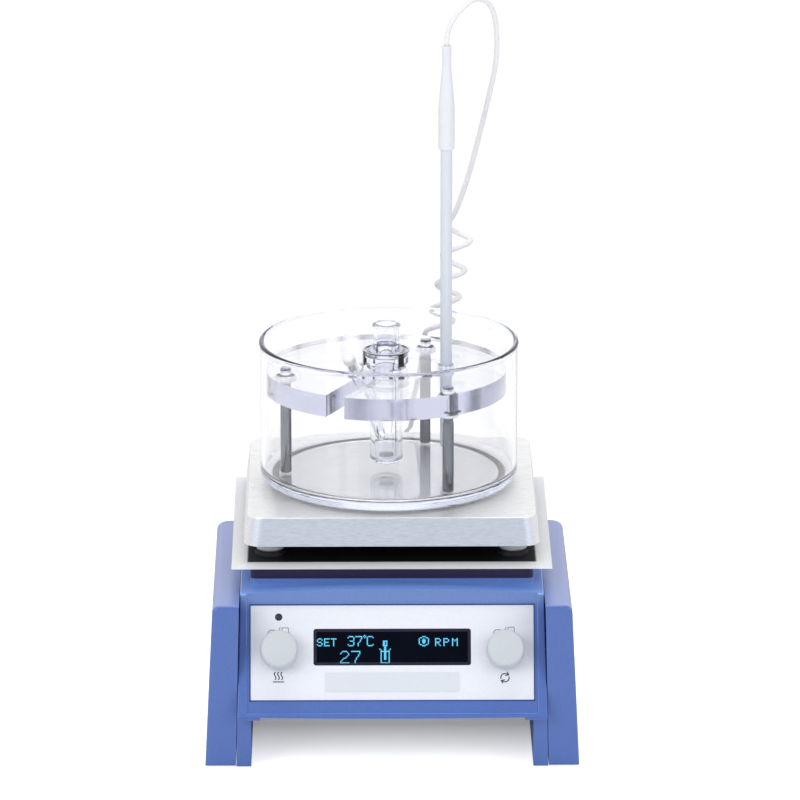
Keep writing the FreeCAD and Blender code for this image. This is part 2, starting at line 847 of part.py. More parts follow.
def make_knob(name, across):
    centre = V(across, knob_up, 0)
    body_top = board_front + encoder_height
    bore_floor = board_front + encoder_floor
    half = encoder_size / 2
    body = box(across - half, across + half, knob_up - half, knob_up + half, board_front, body_top)
    body = body.fuse(upright(bush_radius, centre, body_top, panel_face))
    body = body.cut(upright(shaft_radius + shaft_fit, centre, bore_floor, panel_face))
    plunger_low = bore_floor + push_travel + plunger_gap
    plunger = upright(plunger_radius, centre, plunger_low, plunger_low + plunger_length)
    collar = upright(shaft_radius, centre, plunger_low + plunger_length / 2, plunger_low + plunger_length)
    plunger = plunger.fuse(collar)
    shaft_low = plunger_low + plunger_length + plunger_gap
    knob_low = panel_face + knob_gap
    shaft = upright(shaft_radius, centre, shaft_low, knob_low + shaft_grip - plunger_gap)
    nodes[name + "_encoder"] = on_console(body)
    nodes[name + "_plunger"] = on_console(plunger)
    nodes[name + "_shaft"] = on_console(shaft)
    nodes[name + "_knob"] = on_console(turned(knob_profile(knob_low), centre))


def frustum(half_low, z_low, half_high, z_high):
    """A square block with sloping sides about the stirring axis."""
    wires = []
    for half, z in ((half_low, z_low), (half_high, z_high)):
        points = [V(sx * half, stir_y + sy * half, z)
                  for sx, sy in ((-1, -1), (1, -1), (1, 1), (-1, 1))]
        wires.append(Part.makePolygon(points + points[:1]))
    return Part.makeLoft(wires, True, True)


def make_tray():
    """Folded sheet: a flat floor with mitred edges that slope down and out over the neck."""
    edge_top = tray_top - tray_fall
    outside = frustum(tray_edge_half, edge_top, tray_half, tray_top)
    inside = frustum(tray_edge_half, edge_top - tray_sheet, tray_half, neck_top)
    tray = outside.cut(inside)
    for place in standoff_places():
        tray = tray.cut(upright(stud_radius + stud_clearance, place, neck_top, tray_top))
    nodes["drip_tray"] = tray


def make_hot_plate():
    wires = [rounded_rectangle(half, half, plate_corner, stir_axis, z)
             for half, z in ((plate_half_bottom, plate_bottom), (plate_half_top, plate_top))]
    plate = Part.makeLoft(wires, True, True)
    plate = plate.makeFillet(plate_edge_round, edges_near(plate, lambda p: p.z > plate_top - touch))
    standoffs, studs = [], []
    for place in standoff_places():
        plate = plate.cut(upright(stud_radius, place, plate_bottom, plate_bottom + stud_in_plate))
        bush = upright(standoff_radius, place, tray_top, plate_bottom)
        collar = upright(standoff_collar_radius, place, tray_top, tray_top + standoff_collar)
        bush = bush.fuse(collar).cut(upright(stud_radius + stud_clearance, place, tray_top, plate_bottom))
        standoffs.append(bush)
        nut = hexagon(stud_nut_flats, place, gusset_low - stud_nut_height, gusset_low)
        studs.append(nut.fuse(upright(stud_radius, place, gusset_low - stud_nut_height - stud_tail,
                                      plate_bottom + stud_in_plate)))
    nodes["heating_plate"] = plate
    nodes["plate_standoffs"] = Part.makeCompound(standoffs)
    nodes["plate_studs"] = Part.makeCompound(studs)
    heater_low = plate_bottom - heater_thickness
    nodes["heater_ring"] = ring(heater_outer, heater_inner, stir_axis, heater_low, plate_bottom)
    nodes["insulation_ring"] = ring(heater_outer, heater_inner, stir_axis,
                                    heater_low - insulation_thickness, heater_low)
    sensor = V(plate_sensor_x, stir_y, 0)
    nodes["plate_sensor"] = upright(plate_sensor_radius, sensor,
                                    plate_bottom - plate_sensor_length, plate_bottom)


def make_drive():
    bracket_low = bracket_top - bracket_sheet
    half_x = seam_half_top - casing_wall - bracket_clearance
    half_y = bracket_width / 2 - bracket_clearance
    bracket = box(-half_x, half_x, stir_y - half_y, stir_y + half_y, bracket_low, bracket_top)
    bracket = bracket.cut(upright(motor_boss_radius, stir_axis, bracket_low, bracket_top))
    motor_low = bracket_low - motor_height
    motor = upright(motor_radius, stir_axis, motor_low, bracket_low)
    motor = motor.makeFillet(motor_round, edges_near(motor, lambda p: p.z < motor_low + touch))
    boss_top = bracket_top + motor_boss_height
    motor = motor.fuse(upright(motor_boss_radius, stir_axis, bracket_low, boss_top))
    magnet_top = neck_top - magnet_air_gap
    yoke_top = magnet_top - magnet_height
    yoke_low = yoke_top - yoke_thickness
    shaft_low = yoke_top - drive_shaft_length
    motor = motor.cut(upright(drive_shaft_radius + shaft_fit, stir_axis,
                              shaft_low - drive_shaft_end_gap, boss_top))
    screws = []
    screw_end = bracket_low - motor_screw_grip
    for angle in (45, 135, 225, 315):
        place = around(stir_axis, motor_screw_circle, angle)
        bracket = bracket.cut(upright(plate_screw_radius, place, bracket_low, bracket_top))
        motor = motor.cut(upright(plate_screw_radius, place, screw_end, bracket_low))
        screws.append(upright(plate_screw_radius, place, screw_end, bracket_top).fuse(
            upright(plate_screw_head, place, bracket_top, bracket_top + plate_screw_head_height)))
    yoke_half = magnet_radius + yoke_margin
    yoke = upright(yoke_radius, stir_axis, yoke_low, yoke_top).common(
        box(-yoke_radius, yoke_radius, stir_y - yoke_half, stir_y + yoke_half, yoke_low, yoke_top))
    hub_low = yoke_low - yoke_hub_length
    yoke = yoke.fuse(upright(yoke_hub_radius, stir_axis, hub_low, yoke_low))
    yoke = yoke.cut(upright(drive_shaft_radius, stir_axis, hub_low, yoke_top))
    nodes["motor_bracket"] = bracket
    nodes["motor"] = motor
    nodes["motor_screws"] = Part.makeCompound(screws)
    nodes["drive_shaft"] = upright(drive_shaft_radius, stir_axis, shaft_low, yoke_top)
    nodes["magnet_yoke"] = yoke
    nodes["drive_magnets"] = Part.makeCompound(
        [upright(magnet_radius, V(sx * magnet_offset, stir_y, 0), yoke_top, magnet_top)
         for sx in (-1, 1)])


def make_power_board():
    low = console_bottom + power_post
    y1 = recess_floor - probe_socket_depth - power_board_gap
    y0 = y1 - power_board_depth
    half = power_board_width / 2
    top = low + board_thickness
    board = box(-half, half, y0, y1, low, top)
    posts = [upright(post_radius, V(sx * (half - post_inset), y, 0), console_bottom, low)
             for sx in (-1, 1) for y in (y0 + post_inset, y1 - post_inset)]
    middle = (y0 + y1) / 2
    core = transformer_size / 2
    transformer = box(transformer_x - core, transformer_x + core, middle - core, middle + core,
                      top, top + transformer_height)
    first_can = capacitor_inset - half
    cans = [upright(capacitor_radius, V(x, middle, 0), top, top + capacitor_height)
            for x in (first_can, first_can + capacitor_pitch)]
    nodes["power_board"] = fuse_all([board, transformer] + posts + cans)


def make_rear_fittings():
    flange_back = recess_floor + inlet_flange
    half_w, half_h = inlet_flange_width / 2, inlet_flange_height / 2
    inlet = box(inlet_x - half_w, inlet_x + half_w, recess_floor, flange_back,
                rear_middle - half_h, rear_middle + half_h)
    body_w, body_h = inlet_body_width / 2, inlet_body_height / 2
    inlet = inlet.fuse(box(inlet_x - body_w, inlet_x + body_w,
                           flange_back - inlet_body_depth, recess_floor,
                           rear_middle - body_h, rear_middle + body_h))
    hole_w, hole_h = body_w - inlet_wall, body_h - inlet_wall
    socket_floor = flange_back - inlet_socket_depth
    inlet = inlet.cut(box(inlet_x - hole_w, inlet_x + hole_w, socket_floor, flange_back,
                          rear_middle - hole_h, rear_middle + hole_h))
    for side, rise in ((-1, -1), (0, 1), (1, -1)):
        x = inlet_x + side * inlet_pin_pitch
        z = rear_middle + rise * inlet_pin_rise
        inlet = inlet.fuse(box(x - inlet_pin_width / 2, x + inlet_pin_width / 2,
                               socket_floor, socket_floor + inlet_pin_length,
                               z - inlet_pin_height / 2, z + inlet_pin_height / 2))
    nodes["mains_inlet"] = inlet

    rod_start = V(rod_socket_x, recess_floor, rear_middle)
    flange = cylinder(rod_socket_flange, rod_start, BACK, rod_socket_flange_thickness)
    depth = rod_bore_depth + rod_socket_floor - rod_socket_flange_thickness
    sleeve = flange.fuse(cylinder(rod_socket_radius, rod_start, -BACK, depth))
    mouth = rod_start + BACK * rod_socket_flange_thickness
    nodes["rod_socket"] = sleeve.cut(cylinder(rod_bore_radius, mouth, -BACK, rod_bore_depth))

    start = V(probe_socket_x, recess_floor, probe_socket_z)
    socket = cylinder(probe_socket_flange, start, BACK, probe_socket_flange_thickness)
    socket = socket.fuse(cylinder(probe_socket_radius, start, -BACK, probe_socket_depth))
    mouth = start + BACK * probe_socket_flange_thickness
    nodes["probe_socket"] = socket.cut(
        cylinder(probe_socket_bore, mouth, -BACK, probe_socket_bore_depth))


def make_dish():
    inner = dish_radius - dish_wall
    top = plate_top + dish_height
    bead = (dish_wall + dish_rim_bead) / 2
    bead_centre = inner + bead
    bead_low = top - 2 * bead
    inner_start = inner - dish_inner_corner
    half = math.sin(math.radians(45))
    foot = dish_radius - dish_corner
    hollow = plate_top + dish_hollow
    profile = [
        (0, hollow), (foot - dish_foot_width - dish_hollow, hollow), (foot - dish_foot_width, plate_top),
        (foot, plate_top),
        corner_arc(foot, plate_top + dish_corner, dish_corner, -90),
        (dish_radius, bead_low), (bead_centre + bead, top - bead),
        corner_arc(bead_centre, top - bead, bead, 0),
        corner_arc(bead_centre, top - bead, bead, 90),
        (inner, dish_inside + dish_inner_corner),
        ((inner_start + dish_inner_corner * half, dish_inside + dish_inner_corner * (1 - half)),
         (inner_start, dish_inside)),
        (0, dish_inside)]
    nodes["bath_dish"] = turned(profile, bath_axis)


def leg_places():
    """Three legs evenly round the disc, the first a set angle before the slot."""
    return [around(holder_axis, leg_circle, slot_angle - leg_spread + 120 * k) for k in range(3)]


def make_holder():
    disc = upright(disc_radius, holder_axis, disc_bottom, disc_top)
    hole = cell_radius + cell_clearance
    slot = box(0, disc_radius + slot_width, -slot_width / 2, slot_width / 2, disc_bottom, disc_top)
    slot.rotate(V(0, 0, 0), UP, slot_angle)
    slot.translate(holder_axis)
    disc = disc.cut(upright(hole, holder_axis, disc_bottom, disc_top)).cut(slot)
    sleeve = probe_radius + grommet_fit + grommet_wall
    disc = disc.cut(upright(sleeve, probe_axis, disc_bottom, disc_top))
    legs, lock_nuts = [], []
    leg_top = disc_top + leg_above_disc
    bore = leg_radius + nut_bore_clearance
    nut_low = disc_bottom - lock_nut_height
    for place in leg_places():
        disc = disc.cut(upright(leg_radius + leg_hole_clearance, place, disc_bottom, disc_top))
        leg = upright(leg_radius, place, dish_inside, leg_top)
        leg = leg.cut(ring(leg_radius, leg_neck_radius, place, nut_low - leg_neck_height, nut_low))
        legs.append(leg.makeChamfer(leg_end_chamfer, edges_near(
            leg, lambda p: p.z > leg_top - touch or p.z < dish_inside + touch)))
        lock_nuts.append(nut(nut_flats, bore, place, nut_low, disc_bottom))
    nodes["holder_disc"] = disc
    nodes["holder_legs"] = Part.makeCompound(legs)
    nodes["holder_lock_nuts"] = Part.makeCompound(lock_nuts)
    nodes["probe_grommet"] = ring(sleeve, probe_radius + grommet_fit, probe_axis, disc_bottom, disc_top)


def arm_line():
    """The sampling arm's open end and its direction, up and out along the slot."""
    lean = math.radians(arm_tilt)
    out = around(V(0, 0, 0), 1, slot_angle)
    direction = out * math.sin(lean) + UP * math.cos(lean)
    top = holder_axis + out * arm_reach + UP * (disc_top + arm_top_above_disc)
    return top, direction


def make_cell():
    bottom = disc_top - cell_length
    inner_floor = bottom + cell_bottom_thickness
    flat, inner_flat = cell_radius - cell_corner, cell_bore - cell_inner_corner
    outside = turned([
        (0, bottom), (flat, bottom), corner_arc(flat, bottom + cell_corner, cell_corner, -90),
        (cell_radius, disc_top), (shoulder_radius, disc_top), (shoulder_radius, flange_low),
        (flange_radius, flange_low), (flange_radius, membrane_low), (0, membrane_low)], holder_axis)
    inside = turned([
        (0, inner_floor), (inner_flat, inner_floor),
        corner_arc(inner_flat, inner_floor + cell_inner_corner, cell_inner_corner, -90),
        (cell_bore, membrane_low), (0, membrane_low)], holder_axis)
    top, direction = arm_line()
    reach = arm_reach / math.sin(math.radians(arm_tilt))
    root = top - direction * reach
    chamber = outside.fuse(cylinder(arm_radius, root, direction, reach)).cut(inside)
    chamber = chamber.cut(cylinder(arm_bore, root, direction, reach))
    nodes["receptor_chamber"] = chamber

    nodes["cell_membrane"] = upright(flange_radius, holder_axis, membrane_low, donor_low)
    donor_top = donor_flange_top + donor_height
    bore = donor_radius - donor_wall
    rim_low = donor_top - donor_rim_height
    nodes["donor_chamber"] = turned([
        (bore, donor_low), (flange_radius, donor_low), (flange_radius, donor_flange_top),
        (donor_cone_radius, donor_flange_top), (donor_radius, donor_flange_top + donor_cone),
        (donor_radius, rim_low - donor_rim_height / 2), (donor_rim_radius, rim_low),
        corner_arc(donor_rim_radius - donor_rim_height / 2, rim_low + donor_rim_height / 2,
                   donor_rim_height / 2, 0),
        (bore, donor_top)], holder_axis)

    head = cylinder(stopper_head_radius, top, direction, stopper_head_length)
    head = head.makeFillet(stopper_head_length / 4, edges_near(
        head, lambda p: (p - top).dot(direction) > stopper_head_length - touch))
    nodes["arm_stopper"] = head.fuse(
        cylinder(arm_bore - stopper_fit, top, direction * -1, stopper_shank_length))

    bar_half = stir_bar_length / 2 - stir_bar_radius
    bar_centre = holder_axis + UP * (inner_floor + stir_bar_gap + stir_bar_radius)
    bar = cylinder(stir_bar_radius, bar_centre - RIGHT * bar_half, RIGHT, 2 * bar_half)
    for sx in (-1, 1):
        bar = bar.fuse(Part.makeSphere(stir_bar_radius, bar_centre + RIGHT * sx * bar_half))
    nodes["stir_bar"] = bar.removeSplitter()


def make_clamp():
    """A sprung ring on the donor's flange with three legs that hook under the receptor's."""
    inner = flange_radius + clamp_gap
    outer = inner + clamp_sheet
    top = donor_flange_top + clamp_sheet
    hook_top = flange_low - clamp_gap
    hook_low = hook_top - clamp_sheet
    clamp = ring(outer, outer - clamp_ring_width, holder_axis, donor_flange_top, top)
    for k in range(3):
        angle = clamp_first_angle + 120 * k
        half = clamp_leg_width / 2
        leg = box(inner, outer, -half, half, hook_low, top)
        hook = box(inner - clamp_hook, outer, -half, half, hook_low, hook_top)
        flare = polygon_prism([V(inner, -half, hook_top), V(inner, -half, hook_low),
                               V(inner + clamp_flare, -half, hook_low - clamp_sheet / 2),
                               V(outer + clamp_flare, -half, hook_low)], V(0, clamp_leg_width, 0))
        strip = fuse_all([leg, hook, flare])
        strip.rotate(V(0, 0, 0), UP, angle)
        strip.translate(holder_axis)
        clamp = clamp.fuse(strip)
    nodes["cell_clamp"] = clamp


def make_probe():
    rod = upright(probe_radius, probe_axis, probe_tip, probe_rod_top + probe_into_handle)
    nodes["probe_rod"] = rod.makeFillet(
        probe_tip_round, edges_near(rod, lambda p: p.z < probe_tip + touch))
    sleeve_top = probe_rod_top + handle_sleeve
    taper_top = sleeve_top + handle_taper
    seam = probe_rod_top + handle_seam
    groove = handle_radius - handle_seam_depth
    profile = [
        (probe_radius, probe_rod_top), (handle_radius - handle_chamfer, probe_rod_top),
        (handle_radius, probe_rod_top + handle_chamfer), (handle_radius, seam),
        (groove, seam + handle_seam_depth),
        (handle_radius, seam + 2 * handle_seam_depth), (handle_radius, sleeve_top),
        (handle_neck_radius, taper_top), (handle_neck_radius, handle_top.z), (0, handle_top.z),
        (0, probe_rod_top + probe_into_handle), (probe_radius, probe_rod_top + probe_into_handle)]
    nodes["probe_handle"] = turned(profile, probe_axis)


def tube(edges, start, direction, name):
    """A round lead along joined edges. Prints how its volume compares with its length."""
    wire = Part.Wire(edges)
    section = Part.Wire([Part.Circle(start, direction, cord_radius).toShape()])
    pipe = Part.BRepOffsetAPI.MakePipeShell(wire)
    pipe.add(section)
    pipe.build()
    pipe.makeSolid()
    solid = pipe.shape()
    expected = wire.Length * math.pi * cord_radius ** 2
    print(f"{name}: length {wire.Length:.1f}, volume ratio {solid.Volume / expected:.4f}")
    nodes[name] = solid


def route(points, name):
    """Straight runs joined by tangent arcs, each as large as its two runs allow."""
    edges = []
    last = points[0]
    radii = []
    for before, corner, after in zip(points, points[1:], points[2:]):
        inward = (corner - before).normalize()
        onward = (after - corner).normalize()
        turn = inward.getAngle(onward)
        reach = cord_bend_share * min((corner - before).Length, (after - corner).Length)
        radii.append(reach / math.tan(turn / 2))
        start, end = corner - inward * reach, corner + onward * reach
        bend = (onward - inward).normalize()
        middle = corner + bend * radii[-1] * (1 / math.cos(turn / 2) - 1)
        edges.append(Part.makeLine(last, start))
        edges.append(Part.Arc(start, middle, end).toShape())
        last = end
    edges.append(Part.makeLine(last, points[-1]))
    print(name, "radii", [round(r, 1) for r in radii])
    return edges


def coil_point(turn):
    """A point on the curls after a number of turns, from their left side round the back. They
    fall fastest on the left, and close up towards the bottom."""
    angle = 2 * math.pi * turn
    fallen = turn + coil_sway * math.sin(angle) / (2 * math.pi)
    fall = coil_pitch * fallen - coil_closing * turn ** 2
    centre = handle_top + V(coil_right - coil_drift * turn, coil_behind, -coil_below - fall)
    return centre + V(-coil_radius * math.cos(angle), coil_radius * math.sin(angle), 0)


def coil_tangent(turn):
    step = 1e-4
    return (coil_point(turn + step) - coil_point(turn - step)).normalize()


def arc_from(start, tangent, end):
    """The arc that leaves a point along a tangent and ends at another point."""
    chord = end - start
    half_angle = tangent.getAngle(chord) / 2
    side = tangent - chord * (tangent.dot(chord) / chord.dot(chord))
    middle = (start + end) * 0.5 + side.normalize() * (chord.Length / 2 * math.tan(half_angle))
    return Part.Arc(start, middle, end).toShape()


def biarc(p0, t0, p1, t1):
    """Two tangent arcs from one point and direction to another."""
    chord = p1 - p0
    total = t0 + t1
    spread = 2 * (1 - t0.dot(t1))
    along = chord.dot(total)
    reach = (math.sqrt(along ** 2 + spread * chord.dot(chord)) - along) / spread
    joint = (p0 + p1 + (t0 - t1) * reach) * 0.5
    heading = (joint - p0 - t0 * reach).normalize()
    return [arc_from(p0, t0, joint), arc_from(joint, heading, p1)]


def least_gap(edges):
    """The smallest distance between two stretches of the curls that are half a turn or more apart."""
    samples = 9
    points = [p for e in edges for p in e.discretize(samples)[:-1]]
    apart = int(len(points) / (2 * coil_turns + 2))
    gaps = [(p - q).Length for i, p in enumerate(points) for q in points[i + apart:]]
    return min(gaps) - 2 * cord_radius


def make_lead():
    coil_start = coil_point(0) + V(*coil_entry)
    coil_end = coil_point(coil_turns) + V(*coil_exit)
    arc_points = [handle_top] + [handle_top + V(*p) for p in cord_arc_points] + [coil_start]
    tail_points = [coil_end] + [plug_middle + V(*p) for p in cord_tail_points] + [plug_middle]
    for points, name in ((arc_points, "probe_cord_arc"), (tail_points, "probe_cord_tail")):
        tube(route(points, name), points[0], points[1] - points[0], name)

    entry = (arc_points[-1] - arc_points[-2]).normalize()
    leave = (tail_points[1] - tail_points[0]).normalize()
    straight = 2 * cord_radius
    stops = [(coil_start + entry * straight, entry)]
    for k in range(coil_turns * coil_steps + 1):
        stops.append((coil_point(k / coil_steps), coil_tangent(k / coil_steps)))
    stops.append((coil_end - leave * straight, leave))
    edges = [Part.makeLine(coil_start, stops[0][0])]
    for (p0, t0), (p1, t1) in zip(stops, stops[1:]):
        edges += biarc(p0, t0, p1, t1)
    edges.append(Part.makeLine(stops[-1][0], coil_end))
    print(f"probe_cord_coil least gap {least_gap(edges):.2f}")
    tube(edges, coil_start, entry, "probe_cord_coil")


def make_plug():
    start = V(probe_socket_x, plug_start, probe_socket_z)
    body = cylinder(plug_body_radius, start, BACK, plug_body_length)
    body = body.makeFillet(plug_body_round, edges_near(
        body, lambda p: p.y > plug_start + plug_body_length - touch))
    nose = cylinder(probe_socket_bore - plug_nose_fit, start, -BACK,
                    probe_socket_bore_depth - plug_nose_gap)
    relief_low = plug_middle - UP * plug_relief
    barrel = upright(plug_barrel_radius, plug_middle, probe_socket_z, relief_low.z)
    relief = Part.makeCone(plug_barrel_radius, plug_relief_radius, plug_relief, relief_low, UP)
    nodes["probe_plug"] = fuse_all([body, nose, barrel, relief])


make_casing()
make_inner_legs()
make_cheeks()
make_feet()
make_bottom()
make_panel()
make_knob("temp", -knob_across)
make_knob("speed", knob_across)
make_tray()
make_hot_plate()
make_drive()
make_power_board()
make_rear_fittings()
make_dish()
make_holder()
make_cell()
make_clamp()
make_probe()
make_lead()
make_plug()

os.makedirs("parts", exist_ok=True)
for name, shape in nodes.items():
    shape.exportStep(f"parts/{name}.step")
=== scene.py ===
import math

import bmesh
import bpy
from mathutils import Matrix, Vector


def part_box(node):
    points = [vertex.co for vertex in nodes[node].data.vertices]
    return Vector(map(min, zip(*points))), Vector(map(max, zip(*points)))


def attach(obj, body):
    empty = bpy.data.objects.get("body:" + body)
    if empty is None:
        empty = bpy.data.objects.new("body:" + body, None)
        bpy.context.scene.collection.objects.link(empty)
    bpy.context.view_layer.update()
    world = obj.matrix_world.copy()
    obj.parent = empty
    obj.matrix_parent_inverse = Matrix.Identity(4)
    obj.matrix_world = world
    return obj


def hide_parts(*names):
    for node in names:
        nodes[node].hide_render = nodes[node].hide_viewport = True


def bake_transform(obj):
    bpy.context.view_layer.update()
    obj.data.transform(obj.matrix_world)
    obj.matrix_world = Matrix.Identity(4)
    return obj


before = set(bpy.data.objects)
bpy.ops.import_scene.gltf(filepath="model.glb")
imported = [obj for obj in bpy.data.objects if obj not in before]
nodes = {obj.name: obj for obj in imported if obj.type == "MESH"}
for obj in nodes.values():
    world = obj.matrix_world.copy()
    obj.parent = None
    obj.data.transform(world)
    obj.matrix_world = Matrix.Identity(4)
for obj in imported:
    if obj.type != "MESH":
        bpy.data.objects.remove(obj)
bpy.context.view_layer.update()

MM = 0.001
# Where the stirring axis stands, millimetres behind the origin
STIR_Y = 19.6

# Camera, fitted to the photograph: where it looks, how far off it stands and its angles
CAMERA_TARGET = Vector((4.976, STIR_Y, 169.845)) * MM
CAMERA_DISTANCE = 3.7621
CAMERA_ELEVATION = math.radians(16.06)
CAMERA_YAW = math.radians(0.451)
CAMERA_LENS = 312.7
CAMERA_SENSOR = 36.0

# The console's plane: where its lower front edge lies, and the way up its slope and out of its face.
# Sizes on it are in millimetres: the panel's face lies in from the plane, the knobs stand to both sides
CONSOLE_TILT = math.radians(27.7)
CONSOLE_ORIGIN = Vector((0, -105.0, 30.0)) * MM
CONSOLE_UP = Vector((0, math.sin(CONSOLE_TILT), math.cos(CONSOLE_TILT)))
CONSOLE_OUT = Vector((0, -math.cos(CONSOLE_TILT), math.sin(CONSOLE_TILT)))
PANEL_FACE = -1.8
KNOB_ACROSS = 60.0
DISPLAY_HALF = 41.7
DISPLAY_LOW = 29.1
DISPLAY_HIGH = 48.6
DISPLAY_CORNER = 1.2
BORDER_WIDTH = 1.5
BORDER_INNER_CORNER = 0.3
CORNER_STEPS = 4
DOT = 0.61
DOT_LIT_SHARE = 0.94
DOT_REACH = 0.005
PRINT_DEPTH = 0.04

# Symbols printed round the knobs, millimetres on the console
HEAT_X = -60.4
STIR_X = 59.8
HEAT_LOW = 20.2
HEAT_HIGH = 25.4
HEAT_SPACING = 1.75
HEAT_GAP = 1.2
HEAT_SWAY = 0.42
HEAT_BASE_HALF = 2.7
STIR_HEIGHT = 22.2
STIR_RING = 2.2
STIR_SWEEP = 130
ARROW_LENGTH = 0.9
ARROW_BACK = 0.3
ARROW_HALF = 1.0
PUSH_HEIGHT = 46.8
PUSH_SYMBOL = (
    [(-6.2, -0.4), (-5.6, 0.6), (-4.6, 1.2), (-2.8, 1.3), (-2.2, 0.0)],
    [(-0.5, 0.4), (0.5, 2.6)],
    [(0.8, 0.0), (1.5, 0.0), (1.5, 2.1), (1.9, 2.5), (4.5, 2.5), (4.9, 2.1), (4.9, 0.0), (5.4, -0.2)],
)
INK_WIDTH = 0.55
GREY_WIDTH = 0.48

# The holder's legs: its axis in metres, then in millimetres where they stand round it and their thread
HOLDER_AXIS = Vector((-2.4, STIR_Y, 0)) * MM
LEG_CIRCLE = 54.6
LEG_ANGLES = (186.5, 306.5, 66.5)
LEG_RADIUS = 3.0
LEG_FLOOR = 131.6
LEG_TOP = 190.3
LEG_CHAMFER = 0.5
NECK_RADIUS = 2.5
NECK_LOW = 170.0
NECK_HIGH = 173.4
NECK_CREST = 0.35
NECK_UNDERCUT = 0.1
THREAD_PITCH = 1.0
THREAD_DEPTH = 0.45
THREAD_STEPS = 8
LEG_SIDES = 24

# The probe's lead: its length in metres, then in millimetres the route's points as in the model,
# measured from the stirring axis, and its curls
CORD_RADIUS = 1.5
HANDLE_TOP = (29.9, 3.0, 366.0)
CORD_ARC = [
    (29.9, 3.0, 374.0),
    (36.4, 5.5, 384.5),
    (46.4, 11.5, 391.0),
    (54.4, 18.5, 384.5),
    (57.2, 23.5, 371.0),
    (57.4, 29.0, 352.0),
    (53.4, 37.0, 330.0),
    (47.9, 48.5, 303.5),
    (42.9, 59.5, 280.0),
    (38.9, 66.5, 266.0),
]
CORD_TAIL = [
    (18.5, 88.0, 163.0),
    (15.5, 91.0, 143.0),
    (10.5, 93.2, 122.0),
    (6.0, 93.7, 104.5),
]
PLUG_TOP = (6.0, 93.7, 92.0)
COIL_TURNS = 4
COIL_STEPS = 12
COIL_RADIUS = 7.2
COIL_PITCH = 18.6
COIL_CLOSING = 0.87
COIL_DRIFT = 2.9
COIL_SWAY = 0.7
COIL_TOP = Vector((38.7, 78.0, 247.5))
COIL_ENTRY = Vector((4.4, -7.0, 8.8))
COIL_EXIT = Vector((-0.8, 6.5, -8.6))
TUBE_SIDES = 16

# The bent tail of the clamp's left leg, millimetres
CLAMP_TAIL = [
    (-14.9, 17.4, 190.9),
    (-15.2, 12.0, 190.1),
    (-16.4, 4.5, 189.9),
    (-18.8, -1.8, 189.9),
    (-21.4, -1.0, 190.0),
    (-21.9, 3.0, 190.2),
]
CLAMP_TAIL_RADIUS = 0.45

# Heights and half widths between which a colour changes, metres: the painted highlight on the deck's
# edge, the painted shade on the neck, the standoffs and the tray, and the painted tint on the glass rim
DECK_EDGE_HIGHLIGHT = (0.0815, 0.0865)
NECK_SHADE = (0.0922, 0.0928)
STANDOFF_SHADE = (0.1060, 0.1050)
TRAY_SHADE = (0.0775, 0.0765)
RIM_DEPTH = (1.4 * MM, 1.0 * MM)

# The casing's paint, and how strongly the clear materials bend light
BLUE = (0.062, 0.145, 0.475)
PAINT_COAT = 0.9
GLASS_IOR = 1.47
ACRYLIC_IOR = 1.49
SILICONE_IOR = 1.41

# Lamps: name, place in metres, size in metres, power in watts
LAMPS = (
    ("key", (-1.6, -2.0, 1.35), 1.5, 24.5),
    ("fill", (1.8, -1.8, 1.15), 1.5, 15.0),
    ("top", (0.1, 0.4, 2.3), 1.6, 16.0),
)
FLOOR_HALF = 6.0
WHITE = (1, 1, 1, 1)


def set_camera():
    """The photograph's camera."""
    forward = Vector((math.sin(CAMERA_YAW) * math.cos(CAMERA_ELEVATION),
                      math.cos(CAMERA_YAW) * math.cos(CAMERA_ELEVATION),
                      -math.sin(CAMERA_ELEVATION)))
    camera = bpy.data.objects.new("camera", bpy.data.cameras.new("camera"))
    camera.data.sensor_width = CAMERA_SENSOR
    camera.data.lens = CAMERA_LENS
    camera.location = CAMERA_TARGET - forward * CAMERA_DISTANCE
    camera.rotation_euler = forward.to_track_quat("-Z", "Y").to_euler()
    bpy.context.scene.collection.objects.link(camera)
    bpy.context.scene.camera = camera


# Materials

def node_tools(tree):
    """Short ways to add a node to a tree and to join two sockets."""
    def add(kind, **inputs):
        node = tree.nodes.new(kind)
        for key, value in inputs.items():
            node.inputs[key.replace("_", " ")].default_value = value
        return node
    return add, tree.links.new


def node_tree(name):
    """A new material, its nodes, and short ways to add a node and join two sockets."""
    mat = bpy.data.materials.new(name)
    mat.use_nodes = True
    return mat, mat.node_tree, *node_tools(mat.node_tree)


def calculated(add, link, operation, first, second=0.0):
    """A Math node's value, from a socket and from another socket or a number."""
    node = add("ShaderNodeMath")
    node.operation = operation
    link(first, node.inputs[0])
    if isinstance(second, float):
        node.inputs[1].default_value = second
    else:
        link(second, node.inputs[1])
    return node.outputs[0]


def mapped(add, link, source, low, high, start=0.0, end=1.0):
    """A value that runs from start to end as the source runs from low to high."""
    node = add("ShaderNodeMapRange", From_Min=low, From_Max=high, To_Min=start, To_Max=end)
    link(source, node.inputs["Value"])
    return node.outputs["Result"]


def mixed(add, link, share, first, second, blend_type="MIX"):
    """A colour between two, each of them a socket or a constant."""
    mix = add("ShaderNodeMix")
    mix.data_type = "RGBA"
    mix.blend_type = blend_type
    link(share, mix.inputs[0])
    for socket, value in ((6, first), (7, second)):
        if isinstance(value, bpy.types.NodeSocket):
            link(value, mix.inputs[socket])
        else:
            mix.inputs[socket].default_value = value
    return mix.outputs[2]


def split(add, link, kind, output):
    """The three parts of a vector that a node gives."""
    parts = add("ShaderNodeSeparateXYZ")
    link(add(kind).outputs[output], parts.inputs["Vector"])
    return parts.outputs


def grained(add, link, noise, start, end):
    """A value that runs from start to end over the middle of a noise."""
    return mapped(add, link, noise, 0.3, 0.7, start, end)


def toned(add, link, noise, colour, tone):
    """A colour that a noise makes darker and lighter by a share."""
    return mixed(add, link, grained(add, link, noise, 0.0, 1.0),
                 [c * (1 - tone) for c in colour] + [1],
                 [min(1, c * (1 + tone)) for c in colour] + [1])


